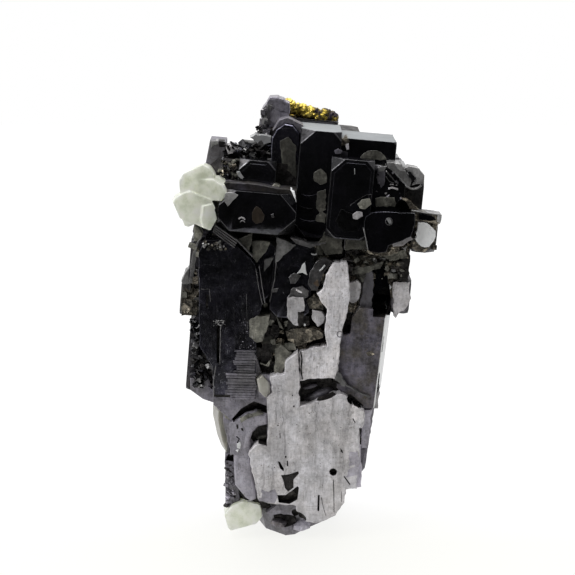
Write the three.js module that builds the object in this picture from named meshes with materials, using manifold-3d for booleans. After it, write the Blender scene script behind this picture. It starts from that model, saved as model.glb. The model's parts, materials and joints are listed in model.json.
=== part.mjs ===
import * as THREE from 'three';
import { ConvexGeometry } from 'three/addons/geometries/ConvexGeometry.js';
import { mergeVertices } from 'three/addons/utils/BufferGeometryUtils.js';
import Module from 'manifold-3d';

const wasm = await Module();
wasm.setup();

// A hand specimen of galena with chalcopyrite and calcite, standing on its broken lower end.
// Millimetres and degrees. +X is right, -Y is the front, +Z is up. The origin is the middle of the
// flat face that it stands on.
const latticeRoll = 5;
const plateYaw = -8;
const socketGap = 0.3;

const radians = THREE.MathUtils.degToRad;

// The same numbers on every run, for the small grains.
function dice(seed) {
  let state = seed;
  return () => {
    state = (state * 1664525 + 1013904223) % 4294967296;
    return state / 4294967296;
  };
}

function solid(geometry) {
  geometry.deleteAttribute('normal');
  geometry.deleteAttribute('uv');
  const merged = mergeVertices(geometry, 1e-5);
  return new wasm.Manifold(new wasm.Mesh({
    numProp: 3,
    vertProperties: new Float32Array(merged.attributes.position.array),
    triVerts: new Uint32Array(merged.index.array),
  }));
}

function join(solids) {
  return solids.reduce((all, piece) => all.add(piece));
}

// The outside of a joined shape alone, with no hollow left sealed between the pieces.
function outerShell(shape) {
  const shells = shape.decompose();
  return shells.reduce((best, shell) => (shell.volume() > best.volume() ? shell : best));
}

function namedMesh(name, shape, material) {
  const result = outerShell(shape).getMesh();
  const geometry = new THREE.BufferGeometry();
  geometry.setAttribute('position', new THREE.BufferAttribute(result.vertProperties, 3));
  geometry.setIndex(new THREE.BufferAttribute(result.triVerts, 1));
  geometry.computeVertexNormals();
  const mesh = new THREE.Mesh(geometry, material);
  mesh.name = name;
  return mesh;
}

// A cube of galena whose eight corners are cut back to octahedron faces. x and z are the middle of
// its front face, and front is where that face stands. All cubes share one lattice direction.
function crystal({ x, z, front, width, height, depth = 8, corner = 1, roll = latticeRoll, yaw = 0 }) {
  const half = [width / 2, depth / 2, height / 2];
  const cut = Math.min(corner, 0.85 * Math.min(...half));
  const points = [];
  for (const sideX of [-1, 1]) {
    for (const sideY of [-1, 1]) {
      for (const sideZ of [-1, 1]) {
        const sides = [sideX, sideY, sideZ];
        for (const axis of [0, 1, 2]) {
          const place = sides.map((side, index) => side * (half[index] - (index === axis ? cut : 0)));
          points.push(new THREE.Vector3(...place));
        }
      }
    }
  }
  const shape = new ConvexGeometry(points);
  shape.translate(0, depth / 2, 0);
  shape.rotateY(radians(roll));
  shape.rotateZ(radians(yaw));
  shape.translate(x, front, z);
  return solid(shape);
}

function middle(outline, axis) {
  return outline.reduce((sum, point) => sum + point[axis], 0) / outline.length;
}

// A flat plate, drawn as its outline in x and z, from its front face back to its depth. It is turned
// about the middle of its front face. A rim cuts its edges, and grow makes it larger all round.
function plate({ outline, front, depth, yaw = 0, pitch = 0, rim = 0 }, grow = 0) {
  const shape = new THREE.Shape(outline.map(([x, z]) => new THREE.Vector2(x, z)));
  const geometry = new THREE.ExtrudeGeometry(shape, {
    depth: depth - 2 * rim + 2 * grow,
    bevelEnabled: rim > 0,
    bevelThickness: rim,
    bevelSize: rim,
    bevelOffset: grow - rim,
    bevelSegments: 1,
  });
  geometry.rotateX(radians(90));
  geometry.translate(-middle(outline, 0), depth + grow - rim, -middle(outline, 1));
  geometry.rotateX(radians(pitch));
  geometry.rotateZ(radians(yaw));
  geometry.translate(middle(outline, 0), front, middle(outline, 1));
  return solid(geometry);
}

// Small cubes strewn over a zone, half sunk in what they grew on. An edge is measured against the
// size of the zone's grains, and the other two sides against that edge.
const grainEdge = { least: 0.6, most: 1.3 };
const grainSide = { least: 0.8, most: 1.35 };
const grainTilt = 12;

function grains({ seed, count, from, to, size }) {
  const random = dice(seed);
  const between = (low, high) => low + (high - low) * random();
  const side = () => between(grainSide.least, grainSide.most);
  const tilt = () => radians(between(-grainTilt, grainTilt));
  const found = [];
  for (let index = 0; index < count; index++) {
    const edge = size * between(grainEdge.least, grainEdge.most);
    const cube = new THREE.BoxGeometry(edge, edge * side(), edge * side());
    cube.rotateY(radians(latticeRoll) + tilt());
    cube.rotateZ(tilt());
    cube.rotateX(tilt());
    cube.translate(...from.map((low, axis) => between(low, to[axis])));
    found.push(solid(cube));
  }
  return found;
}

// Crystals of mixed size that stand out of the sides, the back and the top.
const flankCorner = 0.2;

function flank({ seed, count, from, to, least, most }) {
  const random = dice(seed);
  const between = (low, high) => low + (high - low) * random();
  const found = [];
  for (let index = 0; index < count; index++) {
    const [x, y, z] = from.map((low, axis) => between(low, to[axis]));
    const width = between(least, most);
    const depth = between(least, most);
    const height = between(least, most);
    const corner = flankCorner * Math.min(width, depth, height);
    found.push(crystal({ x, z, front: y - depth / 2, width, height, depth, corner }));
  }
  return found;
}

// The hidden heart of the mass, which every crystal and plate grows out of.
const heart = [
  { x: 0.5, z: 42.5, front: -7, width: 25, height: 11, depth: 16, corner: 3 },
  { x: 1.0, z: 49.0, front: -3, width: 13, height: 6, depth: 10, corner: 2 },
  { x: -1.5, z: 29.0, front: -8, width: 21, height: 22, depth: 16, corner: 3 },
  { x: -1.0, z: 12.0, front: -9, width: 15, height: 20, depth: 15, corner: 3 },
];

// Crystals of the upper half, from the crown down.
const upperCrystals = [
  { x: 1.1, z: 51.4, front: -0.4, width: 7.4, height: 3.4, depth: 5, corner: 0.4 },
  { x: 2.1, z: 45.9, front: -9, width: 5.1, height: 13.4, depth: 8.8, corner: 1.7 },
  { x: 6.1, z: 46.9, front: -8.4, width: 11, height: 9.4, depth: 8.5, corner: 0.8 },
  { x: 6.1, z: 44.4, front: -11.6, width: 5.3, height: 9.9, depth: 8, corner: 1.2 },
  { x: 10.8, z: 45.6, front: -10.8, width: 4.2, height: 5.7, depth: 7, corner: 1 },
  { x: 13.7, z: 44.4, front: -9.6, width: 3, height: 5.3, depth: 9, corner: 0.9 },
  { x: 15.4, z: 41.9, front: -11.2, width: 4.1, height: 1.7, depth: 4, corner: 0.4 },
  { x: 15.5, z: 39.8, front: -10.2, width: 3, height: 4.2, depth: 7, corner: 1 },
  { x: -5.3, z: 43.1, front: -11.4, width: 9.6, height: 5.8, depth: 9, corner: 2 },
  { x: -5.4, z: 46.6, front: -8.2, width: 4.7, height: 4.4, depth: 8, corner: 1.1 },
  { x: -5.6, z: 48.3, front: -5.6, width: 4.3, height: 4, depth: 6, corner: 0.9 },
  { x: -8, z: 48.1, front: -5, width: 3.6, height: 4.4, depth: 6, corner: 0.6 },
  { x: -9.2, z: 45.5, front: -7.4, width: 4.5, height: 4.5, depth: 8, corner: 1.1 },
];

// Crystals of the middle, where the faces are tall and mirror dark.
const middleCrystals = [
  { x: -4.7, z: 35.1, front: -9, width: 3.1, height: 7.7, depth: 6, corner: 1 },
  { x: -1.0, z: 34.1, front: -9.8, width: 5, height: 10, depth: 8, corner: 2.5 },
  { x: -4.0, z: 25.4, front: -9.4, width: 4.8, height: 7.2, depth: 6, corner: 1.2 },
  { x: 1.4, z: 30.4, front: -9.9, width: 3.4, height: 5, depth: 6, corner: 1.1 },
  { x: 7.6, z: 34.4, front: -8.6, width: 4.4, height: 10, depth: 8, corner: 0.8 },
  { x: 11.2, z: 35.5, front: -8.4, width: 4.8, height: 8.4, depth: 10, corner: 1.2 },
  { x: 12.7, z: 31.6, front: -8.4, width: 2.4, height: 4.4, depth: 8, corner: 0.6 },
  { x: -12.6, z: 23.9, front: -7.4, width: 3.3, height: 9.9, depth: 9, corner: 0.7 },
  { x: -13.7, z: 31.0, front: -6.6, width: 3, height: 4.6, depth: 8, corner: 0.5 },
  { x: -12.7, z: 36.0, front: -7.8, width: 2.4, height: 5.6, depth: 8, corner: 0.6 },
];

// The faces that are no plain rectangle: the summit, the arch and the slab of the crown, the black
// face on the right, then the tall dark face, the etched light plates and the steps beside them.
const plates = [
  {
    front: -2.6, depth: 3.6, outline: [
      [-3.8, 56.1], [-2.8, 56.15], [-1.3, 55.4], [-1.4, 52.8], [-1.8, 50], [-5.2, 50], [-4.9, 54.3], [-4.3, 55.2],
    ],
  },
  {
    front: -6.8, depth: 9, outline: [
      [-3.6, 50], [-3.5, 51.4], [-2.9, 52.5], [-1.9, 53.2], [-0.9, 53], [-0.1, 52], [-0.1, 44.9], [-1.5, 44.9],
      [-3, 46.8], [-3.6, 48.1],
    ],
  },
  {
    front: -5.4, depth: 5, outline: [
      [-11.3, 51], [-11.9, 48], [-11, 47.2], [-10.4, 46.3], [-9.6, 46.5], [-9.3, 49.2], [-9.3, 50.8],
    ],
  },
  {
    front: -12.6, depth: 9, outline: [
      [7.8, 41.8], [8, 42.5], [8.7, 43], [10, 43.1], [14, 42.9], [14, 41.6], [13.5, 40], [12.2, 39.4],
      [10.8, 38.9], [10.5, 38.1], [8.3, 38.3], [7.8, 40.4],
    ],
  },
  {
    front: -10.4, depth: 12, outline: [
      [-12.6, 37.6], [-11.8, 39.2], [-9.2, 39.2], [-7.6, 38.2], [-6.2, 36.9], [-5.3, 35.4], [-4.6, 31.4],
      [-5.5, 28.6], [-5.6, 18.7], [-10.9, 18.9], [-11, 23], [-12.6, 25.6],
    ],
  },
  { front: -7.8, depth: 8, outline: [[-14, 20.8], [-14, 19.2], [-12.4, 18], [-10.4, 17.3], [-10.4, 21]] },
  {
    front: -11, depth: 6, outline: [
      [0, 21.3], [0, 18], [3.2, 19.3], [5.1, 19.6], [6.4, 18.2], [8.2, 17.2], [7.6, 14.6],
      [7.3, 7], [5.9, 6.6], [5.2, 4], [3.4, 2.8], [0, 2.8], [-2.8, 5.4], [-5.3, 5.5],
      [-6.5, 11.8], [-4.6, 13.4], [-4.1, 19], [-3.6, 21.8], [-1.8, 23.6], [-0.3, 25.1],
    ],
  },
  {
    front: -10.4, depth: 4, outline: [
      [4.1, 36.3], [5.8, 36.4], [6.2, 31.6], [5, 25.8], [4.8, 21.3], [0, 21.1], [-0.1, 24.8],
      [3.1, 26.5], [3.4, 30.4], [2.1, 32.4], [3.2, 34.8],
    ],
  },
  {
    front: -10, depth: 11, yaw: plateYaw, outline: [
      [10.7, 29.3], [10.4, 26.4], [9.4, 17.5], [8.1, 17.5], [6.6, 18.4], [5.1, 19.6], [4.1, 20.5],
      [4.6, 21.7], [4.8, 24.8], [5.3, 26.9], [6.3, 27.1], [6.5, 29.2], [7.5, 30.5], [10.2, 30.3],
    ],
  },
  {
    front: -9.8, depth: 8, outline: [
      [-11, 17.8], [-11, 22.9], [-8.6, 25], [-5.7, 25], [-4, 18.7], [-4.2, 16.6], [-6, 17.4],
      [-8.6, 15.6],
    ],
  },
  { front: -9.4, depth: 8, outline: [[-9.9, 17.5], [-4, 16.8], [-4, 13], [-6.7, 11.8], [-9, 12], [-9.6, 14.5]] },
  { front: -10.2, depth: 8, outline: [[-8.6, 12.4], [-5.6, 12.2], [-5.5, 5.4], [-7.6, 5]] },
  { front: -9, depth: 9, outline: [[-9.6, 11], [-8.2, 11], [-7.6, 3.4], [-8.6, 2.9], [-9.6, 4.5]] },
  { front: -8.6, depth: 12, outline: [[6.5, 18], [9.6, 17.4], [8.4, 9], [7.4, 8]] },
];

// Cleavage steps and crystals of the sides and the back.
const backCrystals = [
  { x: 6.5, z: 43.5, front: 1, width: 12, height: 9, depth: 9, corner: 1.8 },
  { x: -5.5, z: 42, front: 0, width: 11, height: 11, depth: 9.5, corner: 2.2 },
  { x: 0.5, z: 35, front: 1, width: 13, height: 10, depth: 10.5, corner: 1.6 },
  { x: -7.5, z: 29, front: 1, width: 8, height: 12, depth: 8.5, corner: 1.5 },
  { x: 5.5, z: 27.5, front: 0, width: 8, height: 12, depth: 8.5, corner: 1.2 },
  { x: -1, z: 23.5, front: 0, width: 9, height: 12, depth: 9.5, corner: 1.4 },
  { x: -5, z: 15, front: 0, width: 7, height: 12, depth: 7, corner: 1.2 },
  { x: 3, z: 14, front: 0, width: 8, height: 13, depth: 8, corner: 1.5 },
  { x: -1.5, z: 9, front: 0, width: 7, height: 9, depth: 8.8, corner: 1.3 },
  { x: 12, z: 40, front: -4, width: 5, height: 7, depth: 9, corner: 1.4 },
  { x: -11.5, z: 39.5, front: -4, width: 4, height: 7, depth: 8, corner: 1.2 },
  { x: -11, z: 26, front: -4, width: 4, height: 9, depth: 8, corner: 1 },
];

const flankZones = [
  { seed: 41, count: 4, from: [-10.4, -2, 41.5], to: [-9.8, 7, 45], least: 4, most: 6 },
  { seed: 42, count: 9, from: [-10.8, -3.5, 22.5], to: [-10, 6.5, 38], least: 3.6, most: 6 },
  { seed: 43, count: 5, from: [-7.4, -4, 7], to: [-6.8, 4.5, 17], least: 3.5, most: 5 },
  { seed: 44, count: 5, from: [10.6, -3, 40], to: [11.4, 6.5, 45.5], least: 4, most: 6 },
  { seed: 45, count: 5, from: [9.4, -3, 29.5], to: [10.4, 6.5, 36], least: 3.6, most: 5.4 },
  { seed: 46, count: 5, from: [6.6, 3, 9], to: [7.4, 6, 25], least: 3.6, most: 5 },
  { seed: 47, count: 9, from: [-9, 8, 22], to: [9, 9, 46], least: 3, most: 5 },
  { seed: 48, count: 5, from: [-5, 5.5, 6], to: [4, 6.4, 20], least: 2.6, most: 4.4 },
  { seed: 49, count: 4, from: [-5, 2.5, 49], to: [7, 6.5, 50.4], least: 3, most: 4.6 },
];

const grainZones = [
  { seed: 11, count: 14, from: [9.4, -8.8, 34], to: [13, -8, 38.4], size: 1.5 },
  { seed: 12, count: 6, from: [5.8, -9, 34], to: [9.2, -8.6, 38.4], size: 1.2 },
  { seed: 13, count: 10, from: [-13.4, -7.8, 20], to: [-11.4, -7, 28], size: 1.4 },
  { seed: 14, count: 8, from: [-9.2, -5.8, 46.4], to: [-4, -5, 50.2], size: 1.5 },
  { seed: 15, count: 10, from: [-5.4, -9, 22.4], to: [1.2, -8.2, 31], size: 1.6 },
];

// The broken end that the specimen stands on: flat below, wider above.
const footHeight = 5;
const footSpread = 1.22;
const footOutline = [
  [-4.4, -6.4], [-1.8, -9], [-0.6, -8.6], [0.3, -7.2], [2.7, -4.3], [4.9, -1.5], [5.4, 5], [-5.4, 6.4],
  [-6.3, 0],
];

function foot() {
  const points = [];
  for (const [x, y] of footOutline) {
    points.push(new THREE.Vector3(x, y, 0));
    points.push(new THREE.Vector3(x * footSpread, y * footSpread, footHeight));
  }
  return solid(new ConvexGeometry(points));
}

// A rounded lump, used for the crust and for hollows.
function lump({ x, y, z, radius, flat = 1, wide = 1, turn = 0, grow = 0, detail = 0 }) {
  const shape = new THREE.IcosahedronGeometry(1, detail);
  shape.rotateX(radians(turn));
  shape.scale(radius * wide + grow, radius + grow, radius * flat + grow);
  shape.rotateY(radians(turn / 4));
  shape.translate(x, y, z);
  return solid(shape);
}

// The crust follows the back of the summit from upper left to lower right, as overlapping lumps.
const crustStart = [-1.5, 0.9, 54.7];
const crustEnd = [4.2, 0.9, 53.2];
const crustRows = 3;
const crustColumns = 6;
const crustRowPitch = 1.4;
const crustRowDrop = 0.25;
const crustScatter = 0.2;
const crustRadius = { least: 0.85, most: 1.1 };
const crustWide = 1.2;

function crust(grow) {
  const random = dice(5);
  const between = (low, high) => low + (high - low) * random();
  const lumps = [];
  for (let row = 0; row < crustRows; row++) {
    for (let column = 0; column < crustColumns; column++) {
      const along = column / (crustColumns - 1);
      const [x, y, z] = crustStart.map((start, axis) => (
        start + (crustEnd[axis] - start) * along + between(-crustScatter, crustScatter)
      ));
      lumps.push(lump({
        x,
        y: y + crustRowPitch * row,
        z: z - crustRowDrop * row * row,
        radius: between(crustRadius.least, crustRadius.most),
        wide: crustWide,
        turn: between(0, 360),
        grow,
      }));
    }
  }
  return join(lumps);
}

// Calcite rhombs: each the outline that it shows, its front, its depth and how it is turned.
const calciteRim = 0.2;
const clusterRhombs = [
  {
    front: -10.6, depth: 4.6, pitch: 14, outline: [
      [-14.9, 46.8], [-14.3, 47.6], [-12, 48.65], [-11.2, 48.3], [-10.5, 47.3], [-11.2, 45], [-13.6, 44.2],
      [-14.8, 45.2],
    ],
  },
  {
    front: -11.2, depth: 4.4, yaw: -16, outline: [
      [-12, 46.8], [-10.6, 46.9], [-9.4, 46.15], [-9.15, 45.2], [-9.7, 44.3], [-11, 44.2], [-12.2, 45.2],
    ],
  },
  {
    front: -11.2, depth: 4.8, pitch: -10, yaw: 6, outline: [
      [-15.6, 44.2], [-15.05, 44.9], [-13.5, 45.5], [-10.9, 44.4], [-10.4, 43.4], [-11.4, 41.6],
      [-13.2, 41.4], [-14.8, 42.2],
    ],
  },
  {
    front: -11.7, depth: 4, yaw: 18, outline: [
      [-11.9, 43.7], [-10.6, 43.9], [-10.1, 42], [-11, 40.6], [-11.9, 41], [-12.2, 42],
    ],
  },
  {
    front: -10.8, depth: 3.6, yaw: -14, outline: [
      [-15, 43], [-13.2, 42.2], [-13.2, 41.2], [-13.8, 40.9], [-14.3, 41], [-14.8, 42.2],
    ],
  },
];
const footRhombs = [
  {
    front: -10.2, depth: 5, yaw: 8, pitch: -6, outline: [
      [-9.7, 3.25], [-8.6, 4.45], [-7.3, 5], [-5.1, 4.5], [-4.8, 2.95], [-5.6, 2], [-8.9, 1.15], [-9.25, 1.6],
    ],
  },
];
const sliverRhombs = [
  {
    front: -8.8, depth: 3.6, yaw: 14, outline: [
      [-10.4, 16.8], [-10, 16.9], [-8.9, 15.6], [-9.1, 13.6], [-9.3, 10.9], [-9.9, 12.6], [-10.45, 15.4],
    ],
  },
];
const chipRhombs = [
  {
    front: -10.8, depth: 2.4, yaw: 12, outline: [
      [-5.4, 21.4], [-4.7, 21.9], [-3.8, 20.9], [-3.7, 19.6], [-4.3, 19], [-5.1, 19.8],
    ],
  },
];

function rhombs(list, grow = 0) {
  return join(list.map((one) => plate({ rim: calciteRim, ...one }, grow)));
}

// Hollows: the dark pocket under the upper light plate, the recess on the right, the pits and
// slits of the lower plate, and the broken bowl at the front of the foot.
const hollows = [
  { x: 2.6, y: -11, z: 20.2, radius: 2, wide: 1.25, flat: 0.7, detail: 1 },
  { x: 10.3, y: -9, z: 31.9, radius: 2, wide: 0.7, flat: 1.6, detail: 1 },
  { x: -1.6, y: -11, z: 7, radius: 1.2, wide: 1.2, flat: 1, detail: 1 },
  { x: -1.8, y: -11, z: 4.8, radius: 1.2, wide: 1.6, flat: 1, detail: 1 },
  { x: 4.2, y: -11, z: 9, radius: 0.6, wide: 0.7, flat: 1 },
  { x: -1.2, y: -10.2, z: 2.6, radius: 2, wide: 1.9, flat: 0.7, detail: 1 },
  { x: -5.3, y: -10.4, z: 14.6, radius: 1, wide: 1.1, flat: 1.2 },
];

const galenaSolids = [
  foot(),
  ...heart.map(crystal),
  ...upperCrystals.map(crystal),
  ...middleCrystals.map(crystal),
  ...backCrystals.map(crystal),
  ...plates.map((one) => plate(one)),
  ...flankZones.flatMap(flank),
  ...grainZones.flatMap(grains),
];
const sockets = [
  crust(socketGap),
  rhombs(clusterRhombs, socketGap),
  rhombs(footRhombs, socketGap),
  rhombs(sliverRhombs, socketGap),
  rhombs(chipRhombs, socketGap),
];
const galena = join(galenaSolids).subtract(join([...hollows.map(lump), ...sockets]));

function stone(color, roughness, metalness) {
  return new THREE.MeshStandardMaterial({ color, roughness, metalness });
}
const galenaFinish = stone(0x3a3a40, 0.3, 0.9);
const brassFinish = stone(0xb08a2e, 0.4, 0.9);
const calciteFinish = stone(0xd6ddcc, 0.25, 0);

const specimen = new THREE.Group();
specimen.add(
  namedMesh('galena', galena, galenaFinish),
  namedMesh('chalcopyrite_crust', crust(0), brassFinish),
  namedMesh('calcite_cluster', rhombs(clusterRhombs), calciteFinish),
  namedMesh('calcite_foot', rhombs(footRhombs), calciteFinish),
  namedMesh('calcite_sliver', rhombs(sliverRhombs), calciteFinish),
  namedMesh('calcite_chip', rhombs(chipRhombs), calciteFinish),
);

export default specimen;
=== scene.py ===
import json
import math
import random

import bpy
import bmesh
from mathutils import Euler, Matrix, Vector

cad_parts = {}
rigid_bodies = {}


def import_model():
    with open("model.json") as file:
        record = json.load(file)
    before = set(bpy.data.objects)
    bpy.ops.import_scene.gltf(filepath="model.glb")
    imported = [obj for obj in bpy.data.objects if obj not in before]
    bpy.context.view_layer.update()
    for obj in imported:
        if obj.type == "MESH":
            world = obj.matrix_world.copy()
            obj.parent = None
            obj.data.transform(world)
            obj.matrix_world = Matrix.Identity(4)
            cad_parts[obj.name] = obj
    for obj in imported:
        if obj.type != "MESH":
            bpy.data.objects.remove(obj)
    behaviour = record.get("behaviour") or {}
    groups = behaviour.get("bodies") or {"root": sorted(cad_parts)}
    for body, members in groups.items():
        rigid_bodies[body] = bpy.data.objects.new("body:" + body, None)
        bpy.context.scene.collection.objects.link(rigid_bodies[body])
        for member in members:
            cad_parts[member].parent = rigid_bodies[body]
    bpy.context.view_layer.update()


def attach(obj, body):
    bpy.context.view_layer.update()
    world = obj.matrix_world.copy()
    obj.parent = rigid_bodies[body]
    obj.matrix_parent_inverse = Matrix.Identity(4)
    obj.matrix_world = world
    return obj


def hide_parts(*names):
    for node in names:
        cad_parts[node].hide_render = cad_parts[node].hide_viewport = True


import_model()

# A hand specimen of galena with chalcopyrite and calcite, standing on its broken lower end.
# Shapes are modelled in millimetres and set to metres when they are finished. +X is right,
# -Y is the front, +Z is up, and the origin is the middle of the resting face.
MM = 0.001


# Shader building

def plug(tree, socket, value):
    if isinstance(value, bpy.types.NodeSocket):
        tree.links.new(value, socket)
    else:
        socket.default_value = value


def add_node(tree, kind, inputs, **settings):
    node = tree.nodes.new("ShaderNode" + kind)
    for name, value in settings.items():
        setattr(node, name, value)
    for name, value in inputs.items():
        plug(tree, node.inputs[name], value)
    return node


def object_place(tree):
    return add_node(tree, "TexCoord", {}).outputs["Object"]


def ramp(tree, fac, stops):
    node = add_node(tree, "ValToRGB", {"Fac": fac})
    elements = node.color_ramp.elements
    while len(elements) < len(stops):
        elements.new(0.5)
    for element, (position, colour) in zip(elements, stops):
        element.position = position
        element.color = (*colour, 1)
    return node.outputs["Color"]


def mix_colour(tree, share, one, two):
    return add_node(tree, "Mix", {0: share, 6: one, 7: two}, data_type="RGBA").outputs[2]


def mix_value(tree, share, one, two):
    return add_node(tree, "Mix", {0: share, 2: one, 3: two}).outputs[0]


def maths(tree, operation, one, two):
    return add_node(tree, "Math", {0: one, 1: two}, operation=operation).outputs[0]


def multiply(tree, one, two):
    return maths(tree, "MULTIPLY", one, two)


def vector_maths(tree, operation, one, two, output=0):
    return add_node(tree, "VectorMath", {0: one, 1: two}, operation=operation).outputs[output]


def map_range(tree, value, low, high, to_low=0, to_high=1):
    inputs = {"Value": value, "From Min": low, "From Max": high, "To Min": to_low, "To Max": to_high}
    return add_node(tree, "MapRange", inputs, clamp=True).outputs["Result"]


def noise(tree, place, size, detail=4, roughness=0.55, stretch=None):
    """Noise with patches of about one size. The smaller a stretch value, the longer they are that way."""
    if stretch:
        place = add_node(tree, "Mapping", {"Vector": place, "Scale": stretch}).outputs["Vector"]
    inputs = {"Vector": place, "Scale": 1 / (size * MM), "Detail": detail, "Roughness": roughness}
    return add_node(tree, "TexNoise", inputs).outputs["Fac"]


def bumped(tree, height, strength, distance, normal=None):
    inputs = {"Strength": strength, "Distance": distance * MM, "Height": height}
    if normal is not None:
        inputs["Normal"] = normal
    return add_node(tree, "Bump", inputs).outputs["Normal"]


def group_start(name, inputs, outputs):
    """A node group. Its inputs and outputs are titles with their kinds."""
    group = bpy.data.node_groups.new(name, "ShaderNodeTree")
    for direction, sockets in (("INPUT", inputs), ("OUTPUT", outputs)):
        for title, kind in sockets.items():
            group.interface.new_socket(title, in_out=direction, socket_type="NodeSocket" + kind)
    return group, group.nodes.new("NodeGroupInput").outputs, group.nodes.new("NodeGroupOutput").inputs


def tarnish_group():
    """Cloudy patches of a second colour over a base colour, with streaks, mottling and specks."""
    group, given, result = group_start(
        "tarnish",
        {"Base": "Color", "Cloud": "Color", "Speck": "Color", "Cloud Amount": "Float",
         "Speck Amount": "Float", "Dots": "Float", "Mottle": "Float"},
        {"Color": "Color"})
    place = object_place(group)
    clouds = map_range(group, noise(group, place, size=3.4, detail=6, roughness=0.62), 0.4, 0.64)
    clouded = mix_colour(group, multiply(group, clouds, given["Cloud Amount"]), given["Base"], given["Cloud"])
    specks = map_range(group, noise(group, place, size=0.5, roughness=0.7), 0.59, 0.68)
    spots = noise(group, place, size=0.22, detail=3, roughness=0.6, stretch=(1, 1, 0.6))
    dots = map_range(group, spots, 0.63, 0.68)
    hatch = [map_range(group, noise(group, place, size=0.2, detail=2, stretch=stretch), 0.62, 0.72, 0, 0.6)
             for stretch in ((1, 1, 0.05), (0.05, 1, 1))]
    worn_hatch = multiply(group, maths(group, "MAXIMUM", *hatch), clouds)
    marked = maths(group, "MAXIMUM", multiply(group, specks, given["Speck Amount"]),
                   multiply(group, dots, given["Dots"]))
    marked = maths(group, "MAXIMUM", marked, multiply(group, worn_hatch, given["Dots"]))
    speckled = mix_colour(group, marked, clouded, given["Speck"])
    fine = noise(group, place, size=0.35, roughness=0.7)
    broad = noise(group, place, size=1.6, detail=3)
    streak = noise(group, place, size=0.4, roughness=0.65, stretch=(1, 1, 0.14))
    worn = maths(group, "ADD", maths(group, "ADD", fine, broad), multiply(group, streak, 0.5))
    uneven = multiply(group, map_range(group, worn, 0.95, 1.55, -1, 1), given["Mottle"])
    shaded = vector_maths(group, "MULTIPLY", speckled, maths(group, "ADD", uneven, 1))
    plug(group, result["Color"], shaded)
    return group


# The degrees that the common lattice of the crystals leans.
LATTICE_ROLL = 5


def striation_group():
    """Fine growth lines along and across the lattice, as a height from 0 to 1."""
    group, given, result = group_start("striations", {"Across": "Float"}, {"Height": "Float"})
    lean = (0, math.radians(-LATTICE_ROLL), 0)
    turned = add_node(group, "Mapping", {"Vector": object_place(group), "Rotation": lean}).outputs["Vector"]
    upright = noise(group, turned, size=0.22, detail=3, stretch=(1, 1, 0.06))
    level = noise(group, turned, size=0.3, detail=3, stretch=(0.06, 1, 1))
    plug(group, result["Height"], mix_value(group, given["Across"], upright, level))
    return group


CHIP_SIZES = (1.1, 0.42)
# The chips are bent out of line: the size of the bends, and how far they reach.
CHIP_DRIFT = 0.9
CHIP_BEND = 0.6
CHIP_SHADES = [(0.2, (0.06,) * 3), (0.45, (0.16,) * 3), (0.62, (0.3,) * 3), (0.78, (0.9,) * 3)]
# The shades of the chips are dark on the whole, so they are scaled up before they shade a finish.
CHIP_SCALE = 3.5


def chips_group():
    """Angular chips of two sizes: a shade for each chip and a height that slopes it."""
    group, _, result = group_start("chips", {}, {"Shade": "Float", "Height": "Float"})
    place = object_place(group)
    drift = add_node(group, "TexNoise", {"Vector": place, "Scale": 1 / (CHIP_DRIFT * MM), "Detail": 3})
    offset = vector_maths(group, "MULTIPLY", drift.outputs["Color"], (CHIP_BEND * MM,) * 3)
    bent = vector_maths(group, "ADD", place, offset)
    large, small = [add_node(group, "TexVoronoi", {"Vector": bent, "Scale": 1 / (size * MM)},
                             distance="CHEBYCHEV").outputs for size in CHIP_SIZES]
    shades = [add_node(group, "SeparateColor", {"Color": chip["Color"]}).outputs[0]
              for chip in (large, small)]
    shade = map_range(group, maths(group, "ADD", *shades), 0, 2)
    plug(group, result["Shade"], ramp(group, shade, CHIP_SHADES))
    height = maths(group, "ADD", large["Distance"], multiply(group, small["Distance"], 0.5))
    plug(group, result["Height"], height)
    return group


TARNISH = tarnish_group()
STRIATIONS = striation_group()
CHIPS = chips_group()
# What a face's tone of 0 and of 1 multiplies its colour by.
TONE_RANGE = (0.3, 1.7)


def new_material(name, metallic, **plain):
    material = bpy.data.materials.new(name)
    material.use_nodes = True
    tree = material.node_tree
    shader = tree.nodes["Principled BSDF"].inputs
    shader["Metallic"].default_value = metallic
    for socket, value in plain.items():
        shader[socket.replace("_", " ")].default_value = value
    return material, tree, shader


def galena_finish(name, base, cloud, speck, rough, metallic=1, clouds=0.6, specks=0.4, dots=0, mottle=0.35,
                  bump=0.3, across=0.5, grit=0.15, wave=0, chips=0):
    """One finish of galena: clouded colour, uneven polish, growth lines, grit, slow waves and chips."""
    material, tree, shader = new_material(name, metallic)
    place = object_place(tree)
    looks = {"Base": (*base, 1), "Cloud": (*cloud, 1), "Speck": (*speck, 1), "Cloud Amount": clouds,
             "Speck Amount": specks, "Dots": dots, "Mottle": mottle}
    tarnish = add_node(tree, "Group", looks, node_tree=TARNISH).outputs["Color"]
    tone = add_node(tree, "Attribute", {}, attribute_name="tone").outputs["Fac"]
    shade = map_range(tree, tone, 0, 1, *TONE_RANGE)
    lines = add_node(tree, "Group", {"Across": across}, node_tree=STRIATIONS).outputs["Height"]
    relief = mix_value(tree, grit, lines, noise(tree, place, size=0.3, roughness=0.6))
    waves = noise(tree, place, size=1.4, detail=2, stretch=(1, 1, 0.5))
    normal = bumped(tree, relief, strength=bump, distance=0.1)
    normal = bumped(tree, waves, strength=wave, distance=0.6, normal=normal)
    if chips:
        chip = add_node(tree, "Group", {}, node_tree=CHIPS).outputs
        chip_shade = multiply(tree, chip["Shade"], CHIP_SCALE)
        shade = multiply(tree, shade, mix_value(tree, chips, 1, chip_shade))
        normal = bumped(tree, chip["Height"], strength=chips, distance=0.25, normal=normal)
    plug(tree, shader["Base Color"], vector_maths(tree, "MULTIPLY", tarnish, shade))
    polish = noise(tree, place, size=1.1, detail=5, roughness=0.65)
    plug(tree, shader["Roughness"], map_range(tree, polish, 0.35, 0.65, *rough))
    plug(tree, shader["Normal"], normal)
    return material


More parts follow.
